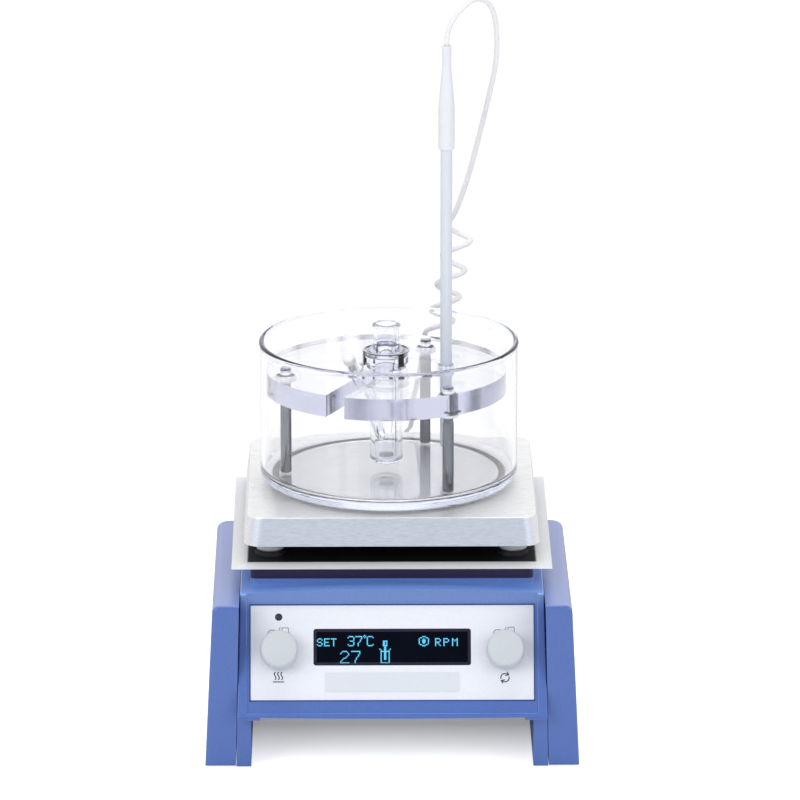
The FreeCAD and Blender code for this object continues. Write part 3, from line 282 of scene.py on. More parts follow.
def surface(name, colour, roughness, metallic=0.0, grain=400.0, stretch=(1, 1, 1), tone=0.06,
            matte=0.06, relief=0.1, **sockets):
    """A Principled material whose tone, roughness and relief follow a noise of that grain."""
    mat, tree, add, link = node_tree(name)
    shader = tree.nodes["Principled BSDF"]
    shader.inputs["Metallic"].default_value = metallic
    for key, value in sockets.items():
        shader.inputs[key.replace("_", " ")].default_value = value
    place = add("ShaderNodeTexCoord")
    mapping = add("ShaderNodeMapping", Scale=stretch)
    link(place.outputs["Object"], mapping.inputs["Vector"])
    noise = add("ShaderNodeTexNoise", Scale=grain, Detail=3.0)
    link(mapping.outputs["Vector"], noise.inputs["Vector"])
    fac = noise.outputs["Fac"]
    link(toned(add, link, fac, colour, tone), shader.inputs["Base Color"])
    link(grained(add, link, fac, max(0.0, roughness - matte), roughness + matte),
         shader.inputs["Roughness"])
    bump = add("ShaderNodeBump", Strength=relief, Distance=0.0002)
    link(fac, bump.inputs["Height"])
    link(bump.outputs["Normal"], shader.inputs["Normal"])
    return mat


def brushed(name, colour, roughness, relief=0.3, length=60.0, across=1700.0, metallic=1.0, tone=0.12):
    """Metal brushed along X on its faces to the front and top, and along Y on its sides."""
    mat, tree, add, link = node_tree(name)
    shader = tree.nodes["Principled BSDF"]
    shader.inputs["Metallic"].default_value = metallic
    place = add("ShaderNodeTexCoord")
    grains = []
    for scale in ((length, across, across), (across, length, across)):
        mapping = add("ShaderNodeMapping", Scale=scale)
        link(place.outputs["Object"], mapping.inputs["Vector"])
        noise = add("ShaderNodeTexNoise", Scale=1.0, Detail=4.0, Roughness=0.65)
        link(mapping.outputs["Vector"], noise.inputs["Vector"])
        grains.append(noise.outputs["Fac"])
    normal = split(add, link, "ShaderNodeNewGeometry", "Normal")
    side = calculated(add, link, "ABSOLUTE", normal["X"])
    grain = add("ShaderNodeMix")
    for source, socket in ((side, 0), (grains[0], 2), (grains[1], 3)):
        link(source, grain.inputs[socket])
    fac = grain.outputs[0]
    link(toned(add, link, fac, colour, tone), shader.inputs["Base Color"])
    link(grained(add, link, fac, roughness + 0.1, roughness - 0.08), shader.inputs["Roughness"])
    bump = add("ShaderNodeBump", Strength=relief, Distance=0.0001)
    link(fac, bump.inputs["Height"])
    link(bump.outputs["Normal"], shader.inputs["Normal"])
    return mat


def clear(name, colour, ior, tint, density, grain=35.0, relief=0.01):
    """Clear glass or plastic with a faint waviness and a tint that grows with depth."""
    mat = surface(name, colour, 0.0, grain=grain, tone=0.0, matte=0.0, relief=relief,
                  Transmission_Weight=1.0, IOR=ior)
    tree = mat.node_tree
    shader = tree.nodes["Principled BSDF"]
    for socket in ("Base Color", "Roughness"):
        tree.links.remove(shader.inputs[socket].links[0])
    shader.inputs["Base Color"].default_value = (*colour, 1)
    shader.inputs["Roughness"].default_value = 0.0
    absorb = tree.nodes.new("ShaderNodeVolumeAbsorption")
    absorb.inputs["Color"].default_value = (*tint, 1)
    absorb.inputs["Density"].default_value = density
    output = tree.nodes["Material Output"]
    tree.links.new(absorb.outputs["Volume"], output.inputs["Volume"])
    return mat


def tinted(mat, source, low, high, colour, roughness):
    """A clear material that takes another tint and roughness as a value runs from low to high."""
    add, link = node_tools(mat.node_tree)
    sockets = mat.node_tree.nodes["Principled BSDF"].inputs
    share = mapped(add, link, source, low, high)
    plain = tuple(sockets["Base Color"].default_value)
    link(mixed(add, link, share, plain, (*colour, 1)), sockets["Base Color"])
    link(calculated(add, link, "MULTIPLY", share, roughness), sockets["Roughness"])


def satin_edge(mat, colour, roughness):
    """Milled edges that are duller than the polished faces above and below."""
    add, link = node_tools(mat.node_tree)
    level = calculated(add, link, "ABSOLUTE", split(add, link, "ShaderNodeNewGeometry", "Normal")["Z"])
    tinted(mat, level, 0.6, 0.4, colour, roughness)


def height_of(mat):
    """The height at rest of a point of the surface, metres."""
    return split(*node_tools(mat.node_tree), "ShaderNodeTexCoord", "Object")["Z"]


def tinted_rim(mat, low, high, colour):
    """Another tint above a height, metres."""
    tinted(mat, height_of(mat), low, high, colour, 0.0)


def glowing(name, colour, strength):
    """Lit display dots, a little uneven from dot to dot."""
    mat = surface(name, colour, 0.4, grain=900.0, tone=0.12)
    shader = mat.node_tree.nodes["Principled BSDF"]
    shader.inputs["Emission Color"].default_value = (*colour, 1)
    shader.inputs["Emission Strength"].default_value = strength
    return mat


def dress(mat, *names):
    """Gives those CAD nodes a material."""
    for name in names:
        nodes[name].data.materials.clear()
        nodes[name].data.materials.append(mat)


def overpaint(mat, source, low, high, colour):
    """Multiplies painted light and shade into the colour as a value runs from low to high."""
    add, link = node_tools(mat.node_tree)
    base = mat.node_tree.nodes["Principled BSDF"].inputs["Base Color"]
    share = mapped(add, link, source, low, high)
    link(mixed(add, link, share, base.links[0].from_socket, (*colour, 1), "MULTIPLY"), base)


def by_facing(mat, axis, low, high, colour):
    """Paints light and shade where the surface's normal along an axis runs from low to high."""
    normal = split(*node_tools(mat.node_tree), "ShaderNodeNewGeometry", "Normal")
    overpaint(mat, normal[axis], low, high, colour)


def by_height(mat, low, high, colour):
    """Paints light and shade as the surface's height runs from low to high, metres."""
    overpaint(mat, height_of(mat), low, high, colour)


def uncoated(mat, low, high, coat):
    """A coat that ends as the height runs from low to high, metres."""
    add, link = node_tools(mat.node_tree)
    share = mapped(add, link, height_of(mat), low, high, coat, 0.0)
    link(share, mat.node_tree.nodes["Principled BSDF"].inputs["Coat Weight"])


def within(mat, low, high, colour):
    """Paints shade inside a square about the stirring axis, whose half width is given in metres."""
    add, link = node_tools(mat.node_tree)
    place = split(add, link, "ShaderNodeTexCoord", "Object")
    sides = []
    for axis, centre in (("X", 0.0), ("Y", STIR_Y * MM)):
        away = calculated(add, link, "SUBTRACT", place[axis], centre)
        sides.append(calculated(add, link, "ABSOLUTE", away))
    overpaint(mat, calculated(add, link, "MAXIMUM", *sides), low, high, colour)


def dress_nodes():
    """A material for every CAD node but the probe's lead and plug, which add_cord sees to."""
    paint = dict(grain=1100.0, tone=0.07, relief=0.22, Coat_Weight=PAINT_COAT, Coat_Roughness=0.28)
    casing = surface("casing_paint", BLUE, 0.42, **paint)
    # Painted highlight: the casing's upward faces are lightened, standing in for the light and sheen on
    # them
    by_facing(casing, "Z", 0.6, 0.95, (1.6, 1.75, 1.75))
    # Painted highlight along the deck's rounded front edge
    by_height(casing, *DECK_EDGE_HIGHLIGHT, (2.1, 1.6, 1.15))
    # Painted shade: the neck under the tray is darkened to a violet-black, and its coat ends at the same
    # height
    by_height(casing, *NECK_SHADE, (0.12, 0.04, 0.09))
    uncoated(casing, *NECK_SHADE, PAINT_COAT)
    dress(casing, "main_casing")
    cheek = surface("cheek_paint", BLUE, 0.42, **paint)
    # Painted highlight: the cheeks' upward faces are lightened
    by_facing(cheek, "Z", 0.6, 0.95, (1.6, 1.35, 1.25))
    dress(cheek, "left_cheek", "right_cheek", "inner_legs")
    dress(surface("panel_white", (0.84, 0.87, 0.945), 0.42, grain=700.0, tone=0.02, relief=0.05),
          "front_panel")
    dress(surface("label_grey", (0.725, 0.77, 0.84), 0.45, grain=900.0, tone=0.02, relief=0.06),
          "label_strip")
    dress(surface("knob_white", (0.60, 0.645, 0.69), 0.5, grain=1300.0, tone=0.02, relief=0.08),
          "temp_knob", "speed_knob")
    dress(surface("window_black", (0.001, 0.002, 0.006), 0.14, grain=60.0, tone=0.3, matte=0.03,
                  relief=0.02, Specular_IOR_Level=0.1), "display_window")
    dress(surface("lens_dark", (0.03, 0.04, 0.06), 0.25, grain=500.0, relief=0.05), "status_led")
    dress(surface("board_green", (0.03, 0.16, 0.07), 0.4, grain=800.0, tone=0.2),
          "control_board", "power_board", "display_module")
    dress(surface("socket_black", (0.02, 0.02, 0.023), 0.5, grain=1200.0, relief=0.2),
          "temp_encoder", "speed_encoder", "mains_inlet", "probe_socket")
    dress(surface("foot_rubber", (0.03, 0.03, 0.03), 0.8, grain=1500.0, relief=0.3), "feet")
    plate = brushed("plate_aluminium", (0.96, 0.97, 0.98), 0.4, length=220.0, metallic=0.75, tone=0.22)
    # Painted light: the plate's upward faces are lightened
    by_facing(plate, "Z", 0.5, 0.9, (1.08, 1.08, 1.08))
    # Painted shade: the plate's faces toward the front are darkened to a blue-grey
    by_facing(plate, "Y", -0.5, -0.9, (0.78, 0.83, 0.9))
    # Painted shade: the plate's underside is made near black, so the gap above the tray reads as shaded
    by_facing(plate, "Z", -0.6, -0.8, (0.005, 0.005, 0.005))
    dress(plate, "heating_plate")
    tray = brushed("tray_stainless", (0.90, 0.93, 1.0), 0.5, relief=0.1, across=2500.0, metallic=0.15)
    # Painted shade: the tray is near black inside the square under the plate
    within(tray, *TRAY_SHADE, (0.005, 0.005, 0.007))
    dress(tray, "drip_tray")
    dress(brushed("sheet_steel", (0.6, 0.61, 0.63), 0.35), "bottom_plate", "motor_bracket")
    dress(surface("turned_steel", (0.52, 0.53, 0.56), 0.24, 1.0, grain=14.0, stretch=(60, 60, 1),
                  tone=0.14, relief=0.12),
          "holder_legs", "temp_shaft", "speed_shaft", "drive_shaft", "plate_studs", "temp_plunger",
          "speed_plunger")
    dress(surface("nut_steel", (0.66, 0.67, 0.72), 0.26, 1.0, grain=700.0, tone=0.1, relief=0.1),
          "holder_lock_nuts", "casing_screws", "motor_screws", "rod_socket", "magnet_yoke")
    dress(surface("heater_metal", (0.012, 0.012, 0.013), 0.7, grain=600.0, tone=0.15),
          "heater_ring", "plate_sensor")
    dress(surface("magnet_nickel", (0.4, 0.4, 0.41), 0.25, 1.0, grain=500.0, tone=0.1),
          "drive_magnets")
    dress(surface("motor_black", (0.03, 0.03, 0.033), 0.45, grain=900.0, relief=0.2), "motor")
    standoff = surface("standoff_white", (0.62, 0.65, 0.74), 0.45, grain=900.0, tone=0.04)
    # Painted shade: the standoffs are darkened below that height, in the gap under the plate
    by_height(standoff, *STANDOFF_SHADE, (0.03, 0.03, 0.035))
    dress(standoff, "plate_standoffs")
    dress(surface("insulation_fibre", (0.03, 0.03, 0.032), 0.9, grain=900.0, tone=0.2, relief=0.6),
          "insulation_ring")
    bath = clear("bath_glass", (0.99, 0.99, 1.0), GLASS_IOR, (0.74, 0.80, 0.97), 5.0)
    rim = max(v.co.z for v in nodes["bath_dish"].data.vertices)
    # Painted tint: the top of the rim is lilac, standing in for the light seen along the glass rim
    tinted_rim(bath, rim - RIM_DEPTH[0], rim - RIM_DEPTH[1], (0.71, 0.75, 0.92))
    dress(bath, "bath_dish")
    dress(clear("cell_glass", (0.98, 0.985, 1.0), GLASS_IOR, (0.75, 0.8, 0.95), 14.0, grain=80.0),
          "receptor_chamber", "donor_chamber")
    acrylic = clear("holder_acrylic", (0.98, 0.98, 1.0), ACRYLIC_IOR, (0.6, 0.62, 0.8), 6.0)
    satin_edge(acrylic, (0.86, 0.86, 0.92), 0.16)
    dress(acrylic, "holder_disc")
    dress(surface("membrane_film", (0.93, 0.94, 0.96), 0.5, grain=2000.0, tone=0.03, Alpha=0.12),
          "cell_membrane")
    clamp = surface("clamp_black", (0.014, 0.014, 0.017), 0.3, grain=800.0, tone=0.2)
    # Painted highlight: the clamp's upward faces are lightened to a pale grey
    by_facing(clamp, "Z", 0.5, 0.8, (48.0, 48.0, 44.0))
    dress(clamp, "cell_clamp")
    dress(surface("stopper_silicone", (0.92, 0.93, 0.94), 0.45, grain=500.0, tone=0.04,
                  Subsurface_Weight=0.3, Subsurface_Scale=0.002), "arm_stopper")
    dress(clear("grommet_silicone", (0.96, 0.97, 1.0), SILICONE_IOR, (0.85, 0.9, 1.0), 8.0),
          "probe_grommet")
    dress(surface("stir_coat", (0.78, 0.79, 0.8), 0.35, grain=600.0, tone=0.03), "stir_bar")
    dress(surface("probe_coat", (0.77, 0.82, 0.91), 0.3, grain=12.0, stretch=(30, 30, 1),
                  tone=0.03, relief=0.03), "probe_rod")
    dress(surface("handle_white", (0.86, 0.88, 0.93), 0.42, grain=900.0, tone=0.02, relief=0.06),
          "probe_handle")


# Pieces

def new_piece(name, build, mat, body):
    """A mesh piece filled in by a function, with a material, that rides on a body."""
    mesh = bpy.data.meshes.new(name)
    bm = bmesh.new()
    build(bm)
    bmesh.ops.recalc_face_normals(bm, faces=bm.faces)
    bm.to_mesh(mesh)
    bm.free()
    mesh.materials.append(mat)
    piece = bpy.data.objects.new(name, mesh)
    bpy.context.scene.collection.objects.link(piece)
    if body:
        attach(piece, body)
    return piece


def coil_point(turn):
    """A point of the curls after so many turns. They drift to one side and close up as they go down."""
    angle = 2 * math.pi * turn
    fallen = turn + COIL_SWAY * math.sin(angle) / (2 * math.pi)
    drop = COIL_PITCH * fallen - COIL_CLOSING * turn ** 2
    centre = COIL_TOP + Vector((-COIL_DRIFT * turn, 0, -drop))
    return centre + Vector((-math.cos(angle), math.sin(angle), 0)) * COIL_RADIUS


def cord_route():
    """The lead's control points in metres: over from the handle, down the curls, to the plug."""
    curls = [coil_point(k / COIL_STEPS) for k in range(COIL_TURNS * COIL_STEPS + 1)]
    points = [Vector(p) for p in [HANDLE_TOP] + CORD_ARC]
    points += [curls[0] + COIL_ENTRY] + curls + [curls[-1] + COIL_EXIT]
    points += [Vector(p) for p in CORD_TAIL + [PLUG_TOP]]
    return [(p + Vector((0, STIR_Y, 0))) * MM for p in points]


def smooth_line(points):
    """Points along a NURBS spline with those control points."""
    curve = bpy.data.curves.new("cord_line", "CURVE")
    curve.dimensions = "3D"
    spline = curve.splines.new("NURBS")
    spline.points.add(len(points) - 1)
    for point, place in zip(spline.points, points):
        point.co = (*place, 1)
    spline.order_u = 3
    spline.use_endpoint_u = True
    spline.resolution_u = 8
    carrier = bpy.data.objects.new("cord_line", curve)
    bpy.context.scene.collection.objects.link(carrier)
    bpy.context.view_layer.update()
    mesh = bpy.data.meshes.new_from_object(carrier)
    line = [v.co.copy() for v in mesh.vertices]
    bpy.data.objects.remove(carrier)
    bpy.data.meshes.remove(mesh)
    bpy.data.curves.remove(curve)
    return line


def tube_along(bm, line, radius):
    """A round tube with closed ends whose section doesn't twist."""
    side = Vector((1, 0, 0))
    rings = []
    for k, place in enumerate(line):
        along = (line[min(k + 1, len(line) - 1)] - line[max(k - 1, 0)]).normalized()
        side = (side - along * side.dot(along)).normalized()
        other = along.cross(side)
        turn = [2 * math.pi * j / TUBE_SIDES for j in range(TUBE_SIDES)]
        rings.append([bm.verts.new(place + (side * math.cos(a) + other * math.sin(a)) * radius)
                      for a in turn])
    for low, high in zip(rings, rings[1:]):
        for j in range(TUBE_SIDES):
            n = (j + 1) % TUBE_SIDES
            bm.faces.new((low[j], low[n], high[n], high[j])).smooth = True
    bm.faces.new(rings[0])
    bm.faces.new(rings[-1])


def add_cord():
    """The probe's lead, over from the handle and down its curls to the plug."""
    line = smooth_line(cord_route())
    mat = surface("lead_silicone", (0.91, 0.91, 0.94), 0.45, grain=700.0, tone=0.03, relief=0.08)
    cord = new_piece("probe_lead", lambda bm: tube_along(bm, line, CORD_RADIUS * MM), mat, None)
    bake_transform(cord)
    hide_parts("probe_cord_arc", "probe_cord_coil", "probe_cord_tail")
    dress(mat, "probe_plug")


def bar(bm, start, end, width, place, depth):
    """A flat bar between two points of a plane, standing out of it by a depth."""
    along = (Vector(end) - Vector(start)).normalized()
    across = Vector((-along.y, along.x)) * width / 2
    a, b = Vector(start) - along * width / 2, Vector(end) + along * width / 2
    outline = [a - across, b - across, b + across, a + across]
    low = [bm.verts.new(place(p.x, p.y, 0)) for p in outline]
    high = [bm.verts.new(place(p.x, p.y, depth)) for p in outline]
    bm.faces.new(high)
    bm.faces.new(low[::-1])
    for k in range(4):
        n = (k + 1) % 4
        bm.faces.new((low[k], low[n], high[n], high[k]))


def on_panel(x, up, out):
    """A point of the console, from millimetres across, up its slope and out of the panel."""
    return (CONSOLE_ORIGIN + (Vector((x, 0, 0)) + CONSOLE_UP * up
                              + CONSOLE_OUT * (PANEL_FACE + out)) * MM)


def dotted(strokes):
    """The dots of a display that the strokes of a sign pass through."""
    dots = set()
    for stroke in strokes:
        for (x0, y0), (x1, y1) in zip(stroke, stroke[1:]):
            steps = max(abs(x1 - x0), abs(y1 - y0), 1)
            for k in range(steps + 1):
                dots.add((round(x0 + (x1 - x0) * k / steps), round(y0 + (y1 - y0) * k / steps)))
    return sorted(dots)


# Signs as strokes on a grid of dots, from their lower left corner
SIGN_S = [[(4, 5), (3, 6), (1, 6), (0, 5), (0, 4), (1, 3), (3, 3), (4, 2), (4, 1), (3, 0), (1, 0),
           (0, 1)]]
SIGN_E = [[(4, 6), (0, 6), (0, 0), (4, 0)], [(0, 3), (3, 3)]]
SIGN_T = [[(0, 6), (4, 6)], [(2, 6), (2, 0)]]
SIGN_R = [[(0, 0), (0, 6), (3, 6), (4, 5), (4, 4), (3, 3), (0, 3)], [(2, 2), (4, 0)]]
SIGN_P = [[(0, 0), (0, 6), (3, 6), (4, 5), (4, 4), (3, 3), (0, 3)]]
SIGN_M = [[(0, 0), (0, 6), (2, 4), (4, 6), (4, 0)]]
SIGN_3 = [[(0, 7), (1, 8), (4, 8), (5, 7), (5, 5), (4, 4), (2, 4)],
          [(4, 4), (5, 3), (5, 1), (4, 0), (1, 0), (0, 1)]]
SIGN_7 = [[(0, 8), (5, 8), (5, 6), (3, 3), (2, 1), (2, 0)]]
SIGN_DEGREE = [[(1, 2), (2, 1), (1, 0), (0, 1), (1, 2)]]
SIGN_C = [[(5, 7), (4, 8), (1, 8), (0, 7), (0, 1), (1, 0), (4, 0), (5, 1)]]
SIGN_TALL_2 = [[(0, 8), (2, 10), (5, 10), (7, 8), (7, 7), (0, 1), (0, 0), (7, 0)]]
SIGN_TALL_7 = [[(0, 10), (7, 10), (7, 8), (4, 4), (3, 2), (3, 0)]]
SIGN_BEAKER = [[(0, 12), (1, 11), (1, 0), (8, 0), (8, 11), (9, 12)], [(2, 10), (7, 10)],
               [(3, 19), (6, 19), (6, 15), (3, 15), (3, 19)], [(4, 18), (4, 3)], [(5, 14), (5, 3)]]
SIGN_STIR = [[(3, 0), (5, 0), (6, 1), (7, 1), (8, 3), (8, 5), (7, 7), (6, 7), (5, 8), (3, 8), (2, 7),
              (1, 7), (0, 5), (0, 3), (1, 1), (2, 1), (3, 0)],
             [(3, 3), (3, 5)], [(4, 2), (4, 6)], [(5, 3), (5, 5)]]

# Each sign with the place of its lower left corner, millimetres across and up the console
DISPLAY_SIGNS = (
    (SIGN_S, -40.0, 39.3), (SIGN_E, -36.2, 39.3), (SIGN_T, -32.6, 39.3),
    (SIGN_3, -23.7, 39.3), (SIGN_7, -19.6, 39.3), (SIGN_DEGREE, -15.5, 43.6), (SIGN_C, -13.5, 39.3),
    (SIGN_TALL_2, -27.7, 30.1), (SIGN_TALL_7, -21.8, 30.1), (SIGN_BEAKER, -6.8, 30.1),
    (SIGN_STIR, 14.1, 39.2), (SIGN_R, 22.8, 39.3), (SIGN_P, 27.2, 39.3), (SIGN_M, 31.8, 39.3))


def add_display():
    """Lit dots on the display's window, and the dark border printed round it."""
    def dots(bm):
        for sign, x, up in DISPLAY_SIGNS:
            for column, row in dotted(sign):
                middle = Vector((x + (column + 0.5) * DOT, up + (row + 0.5) * DOT))
                reach = Vector((DOT_REACH, 0))
                bar(bm, middle - reach, middle + reach, DOT * DOT_LIT_SHARE, on_panel, PRINT_DEPTH)
    lit = glowing("display_cyan", (0.08, 0.48, 0.72), 0.5)
    new_piece("display_signs", dots, lit, "root")

    def border(bm):
        loops = []
        for inset in (0.0, BORDER_WIDTH):
            corner = max(DISPLAY_CORNER - inset, BORDER_INNER_CORNER)
            x = DISPLAY_HALF - inset - corner
            low, high = DISPLAY_LOW + inset + corner, DISPLAY_HIGH - inset - corner
            loop = []
            for cx, cy, first in ((x, high, 0), (-x, high, 90), (-x, low, 180), (x, low, 270)):
                for k in range(CORNER_STEPS + 1):
                    a = math.radians(first + 90 * k / CORNER_STEPS)
                    loop.append((cx + corner * math.cos(a), cy + corner * math.sin(a)))
            loops.append(loop)
        rings = [[bm.verts.new(on_panel(x, up, out)) for x, up in loop]
                 for loop in loops for out in (0, PRINT_DEPTH)]
        low_out, high_out, low_in, high_in = rings
        count = len(low_out)
        for k in range(count):
            n = (k + 1) % count
            for a, b in ((low_out, high_out), (high_out, high_in), (high_in, low_in), (low_in, low_out)):
                bm.faces.new((a[k], a[n], b[n], b[k]))
    violet = surface("border_violet", (0.006, 0.003, 0.026), 0.35, grain=700.0, tone=0.15, relief=0.04)
    new_piece("display_border", border, violet, "root")


def wave(x, low, high, sway):
    """A wavy stroke that rises from low to high."""
    steps = 12
    return [(x + sway * math.sin(2 * math.pi * k / steps), low + (high - low) * k / steps)
            for k in range(steps + 1)]


def arc(x, up, radius, first, last):
    """A round stroke between two angles, degrees."""
    steps = 10
    turns = [math.radians(first + (last - first) * k / steps) for k in range(steps + 1)]
    return [(x + radius * math.cos(a), up + radius * math.sin(a)) for a in turns]


def add_prints():
    """The plain function symbols printed round the two knobs."""
    dark = [wave(HEAT_X + step, HEAT_LOW + HEAT_GAP, HEAT_HIGH, HEAT_SWAY)
            for step in (-HEAT_SPACING, 0.0, HEAT_SPACING)]
    dark.append([(HEAT_X - HEAT_BASE_HALF, HEAT_LOW), (HEAT_X + HEAT_BASE_HALF, HEAT_LOW)])
    for first in (190, 10):
        ring = arc(STIR_X, STIR_HEIGHT, STIR_RING, first, first - STIR_SWEEP)
        tip = Vector(ring[-1])
        heading = (tip - Vector(ring[-2])).normalized()
        outward = (tip - Vector((STIR_X, STIR_HEIGHT))).normalized()
        dark.append(ring)
        dark += [[tip + heading * ARROW_LENGTH, tip - heading * ARROW_BACK + outward * side]
                 for side in (ARROW_HALF, 0.0, -ARROW_HALF)]
    pale = [[(side * KNOB_ACROSS + x, PUSH_HEIGHT + up) for x, up in stroke]
            for side in (-1, 1) for stroke in PUSH_SYMBOL]

    def draw(strokes, width):
        def build(bm):
            for stroke in strokes:
                for start, end in zip(stroke, stroke[1:]):
                    bar(bm, start, end, width, on_panel, PRINT_DEPTH)
        return build
    ink = surface("print_ink", (0.035, 0.04, 0.05), 0.5, grain=900.0, tone=0.2, relief=0.05)
    grey = surface("print_grey", (0.32, 0.35, 0.40), 0.5, grain=900.0, tone=0.1, relief=0.05)
    new_piece("knob_symbols", draw(dark, INK_WIDTH), ink, "root")
    new_piece("push_symbols", draw(pale, GREY_WIDTH), grey, "root")


def leg_radius_at(height, turn):
    """A leg's radius at a height and a turn about its axis: plain below, threaded above."""
    if height < NECK_LOW:
        radius = LEG_RADIUS
    else:
        phase = (height / THREAD_PITCH - turn) % 1.0
        radius = LEG_RADIUS - THREAD_DEPTH * (1 - abs(2 * phase - 1))
        if height < NECK_HIGH:
            radius = min(radius, NECK_RADIUS + NECK_CREST) - NECK_UNDERCUT
    end = min(height - LEG_FLOOR, LEG_TOP - height)
    return min(radius, LEG_RADIUS - LEG_CHAMFER + end)


def add_legs():
    """The legs as rings of points: a few below the neck, and close together along the thread."""
    heights = [LEG_FLOOR, LEG_FLOOR + LEG_CHAMFER, LEG_FLOOR + 20.0, NECK_LOW - 0.3, NECK_LOW - 0.01]
    step = THREAD_PITCH / THREAD_STEPS
    count = int((LEG_TOP - NECK_LOW) / step)
    heights += [NECK_LOW + step * k for k in range(count + 1)] + [LEG_TOP]

    def build(bm):
        for angle in LEG_ANGLES:
            turn = math.radians(angle)
            foot = HOLDER_AXIS + Vector((math.cos(turn), math.sin(turn), 0)) * LEG_CIRCLE * MM
            rings = []
            for height in heights:
                loop = []
                for k in range(LEG_SIDES):
                    a = 2 * math.pi * k / LEG_SIDES
                    radius = leg_radius_at(height, k / LEG_SIDES)
                    loop.append(bm.verts.new(foot + Vector((
                        radius * math.cos(a), radius * math.sin(a), height)) * MM))
                rings.append(loop)
            for low, high in zip(rings, rings[1:]):
                for k in range(LEG_SIDES):
                    n = (k + 1) % LEG_SIDES
                    face = bm.faces.new((low[k], low[n], high[n], high[k]))
                    face.smooth = low[k].co.z < NECK_LOW * MM
            bm.faces.new(rings[0])
            bm.faces.new(rings[-1])
    steel = surface("leg_steel", (0.162, 0.172, 0.2), 0.2, 1.0, grain=9.0, stretch=(90, 90, 1),
                    tone=0.2, relief=0.1)
    # Painted reflection: a dark streak down the legs' faces that look toward +X
    by_facing(steel, "X", 0.62, 0.72, (0.2, 0.22, 0.34))
    # Painted highlight: faces of the legs that look upward are lightened
    by_facing(steel, "Z", 0.5, 0.9, (3.2, 3.1, 3.3))
    legs = new_piece("threaded_legs", build, steel, "holder")
    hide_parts("holder_legs")


def add_clamp_tail():
    """The wire tail that the clamp's left leg ends in."""
    line = smooth_line([Vector(p) * MM for p in CLAMP_TAIL])
    mat = nodes["cell_clamp"].data.materials[0]
    tail = new_piece("clamp_tail", lambda bm: tube_along(bm, line, CLAMP_TAIL_RADIUS * MM), mat, "cell")


# Stage

def seen_by(add, link, *rays):
    """1 for those kinds of ray, and 0 for light that falls on things."""
    path = add("ShaderNodeLightPath")
    total = path.outputs[rays[0]]
    for ray in rays[1:]:
        total = calculated(add, link, "MAXIMUM", total, path.outputs[ray])
    return total


def add_world():
    """An even soft light. The camera sees white, metal sees a dim lilac in front, grey above and white
    behind, and glass sees white behind and above and a dim lilac elsewhere."""
    world = bpy.data.worlds.new("studio")
    world.use_nodes = True
    add, link = node_tools(world.node_tree)
    way = split(add, link, "ShaderNodeTexCoord", "Generated")
    behind = mapped(add, link, way["Y"], -0.75, -0.05)
    overhead = mapped(add, link, way["Z"], 0.6, 0.95)
    mirrored = mixed(add, link, behind, (0.36, 0.40, 0.54, 1), WHITE)
    mirrored = mixed(add, link, overhead, mirrored, (0.5, 0.52, 0.57, 1))
    back_or_up = calculated(add, link, "MAXIMUM", way["Y"], way["Z"])
    clear_way = mapped(add, link, back_or_up, 0.05, 0.6)
    refracted = mixed(add, link, clear_way, (0.5, 0.51, 0.62, 1), WHITE)
    colour = mixed(add, link, seen_by(add, link, "Is Glossy Ray"), (0.5, 0.5, 0.5, 1), mirrored)
    colour = mixed(add, link, seen_by(add, link, "Is Transmission Ray"), colour, refracted)
    colour = mixed(add, link, seen_by(add, link, "Is Camera Ray"), colour, WHITE)
    link(colour, world.node_tree.nodes["Background"].inputs["Color"])
    bpy.context.scene.world = world


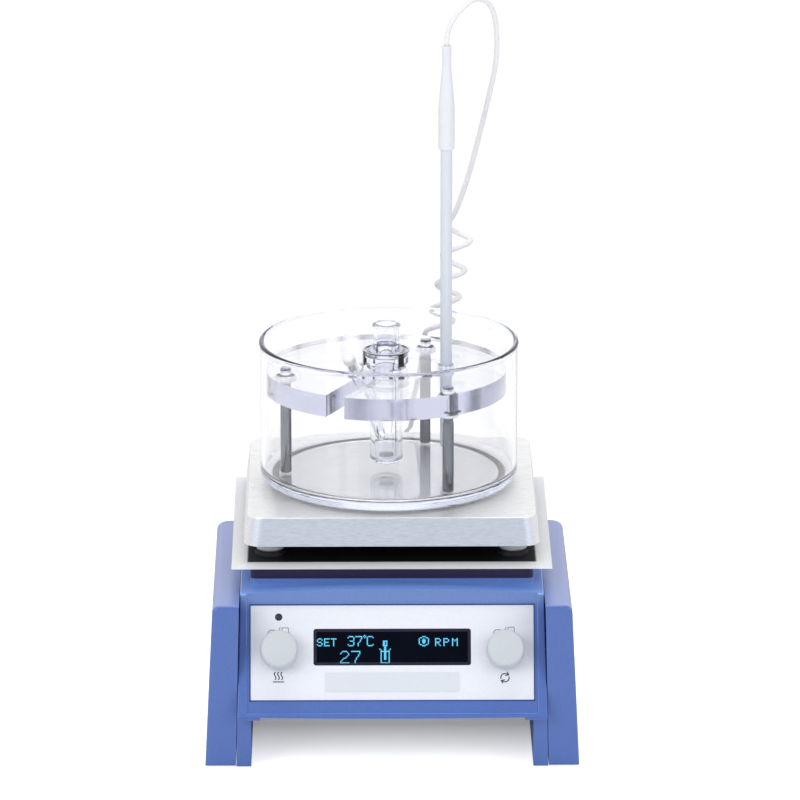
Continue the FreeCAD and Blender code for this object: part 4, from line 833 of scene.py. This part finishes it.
def outside_base(add, link, slope):
    """How far a point of the floor lies out from the base's outline, with its sides given a slope."""
    left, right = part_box("left_cheek")[0][0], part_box("right_cheek")[1][0]
    front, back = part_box("main_casing")[0][1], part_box("main_casing")[1][1]
    place = split(add, link, "ShaderNodeTexCoord", "Object")

    def past(axis, low, high):
        off_middle = calculated(add, link, "SUBTRACT", place[axis], float(low + high) / 2)
        off_middle = calculated(add, link, "ABSOLUTE", off_middle)
        return calculated(add, link, "SUBTRACT", off_middle, float(high - low) / 2)
    beside = calculated(add, link, "MULTIPLY", past("X", left, right), slope)
    return calculated(add, link, "MAXIMUM", beside, past("Y", front, back))


def add_stage():
    """The white floor, the lamps and the world. The floor's glow only shows to the camera and through
    glass: faint under the base, where it paints the shadow under it, strongest round it, where it paints
    light over the base's soft shadow, and rising again far behind."""
    scene = bpy.context.scene
    scene.view_settings.view_transform = "Standard"
    scene.cycles.max_bounces = 24
    scene.cycles.glossy_bounces = 16
    scene.cycles.transmission_bounces = 24
    add_world()

    mat, tree, add, link = node_tree("floor_white")
    shader = tree.nodes["Principled BSDF"]
    shader.inputs["Base Color"].default_value = (0.94, 0.94, 0.94, 1)
    shader.inputs["Roughness"].default_value = 0.9
    shader.inputs["Specular IOR Level"].default_value = 0.0
    shader.inputs["Emission Color"].default_value = WHITE

    def glow_ramp(slope, low, high, start, end):
        """The glow's strength from start to end, as the way out from the base runs from low to high."""
        return mapped(add, link, outside_base(add, link, slope), low, high, start, end)
    # Painted shadow: the glow fades deep under the base
    under = glow_ramp(4.0, -0.08, -0.014, 0.25, 0.75)
    # Painted light: the glow is strongest round the base, over its soft shadow
    around = glow_ramp(1.0, 0.06, 0.3, 0.75, 0.27)
    far = glow_ramp(1.0, 1.0, 1.6, 0.25, 0.45)
    glow = calculated(add, link, "MAXIMUM", calculated(add, link, "MINIMUM", under, around), far)
    in_sight = seen_by(add, link, "Is Camera Ray", "Is Transmission Ray")
    link(calculated(add, link, "MULTIPLY", glow, in_sight), shader.inputs["Emission Strength"])
    floor = new_piece("floor", lambda bm: bmesh.ops.create_grid(
        bm, x_segments=4, y_segments=4, size=FLOOR_HALF), mat, None)

    for name, place, size, power in LAMPS:
        light = bpy.data.lights.new(name, "AREA")
        light.size = size
        light.energy = power
        lamp = bpy.data.objects.new(name, light)
        lamp.location = place
        aim = CAMERA_TARGET - Vector(place)
        lamp.rotation_euler = aim.to_track_quat("-Z", "Y").to_euler()
        scene.collection.objects.link(lamp)


set_camera()
dress_nodes()
add_cord()
add_display()
add_prints()
add_legs()
add_clamp_tail()
add_stage()
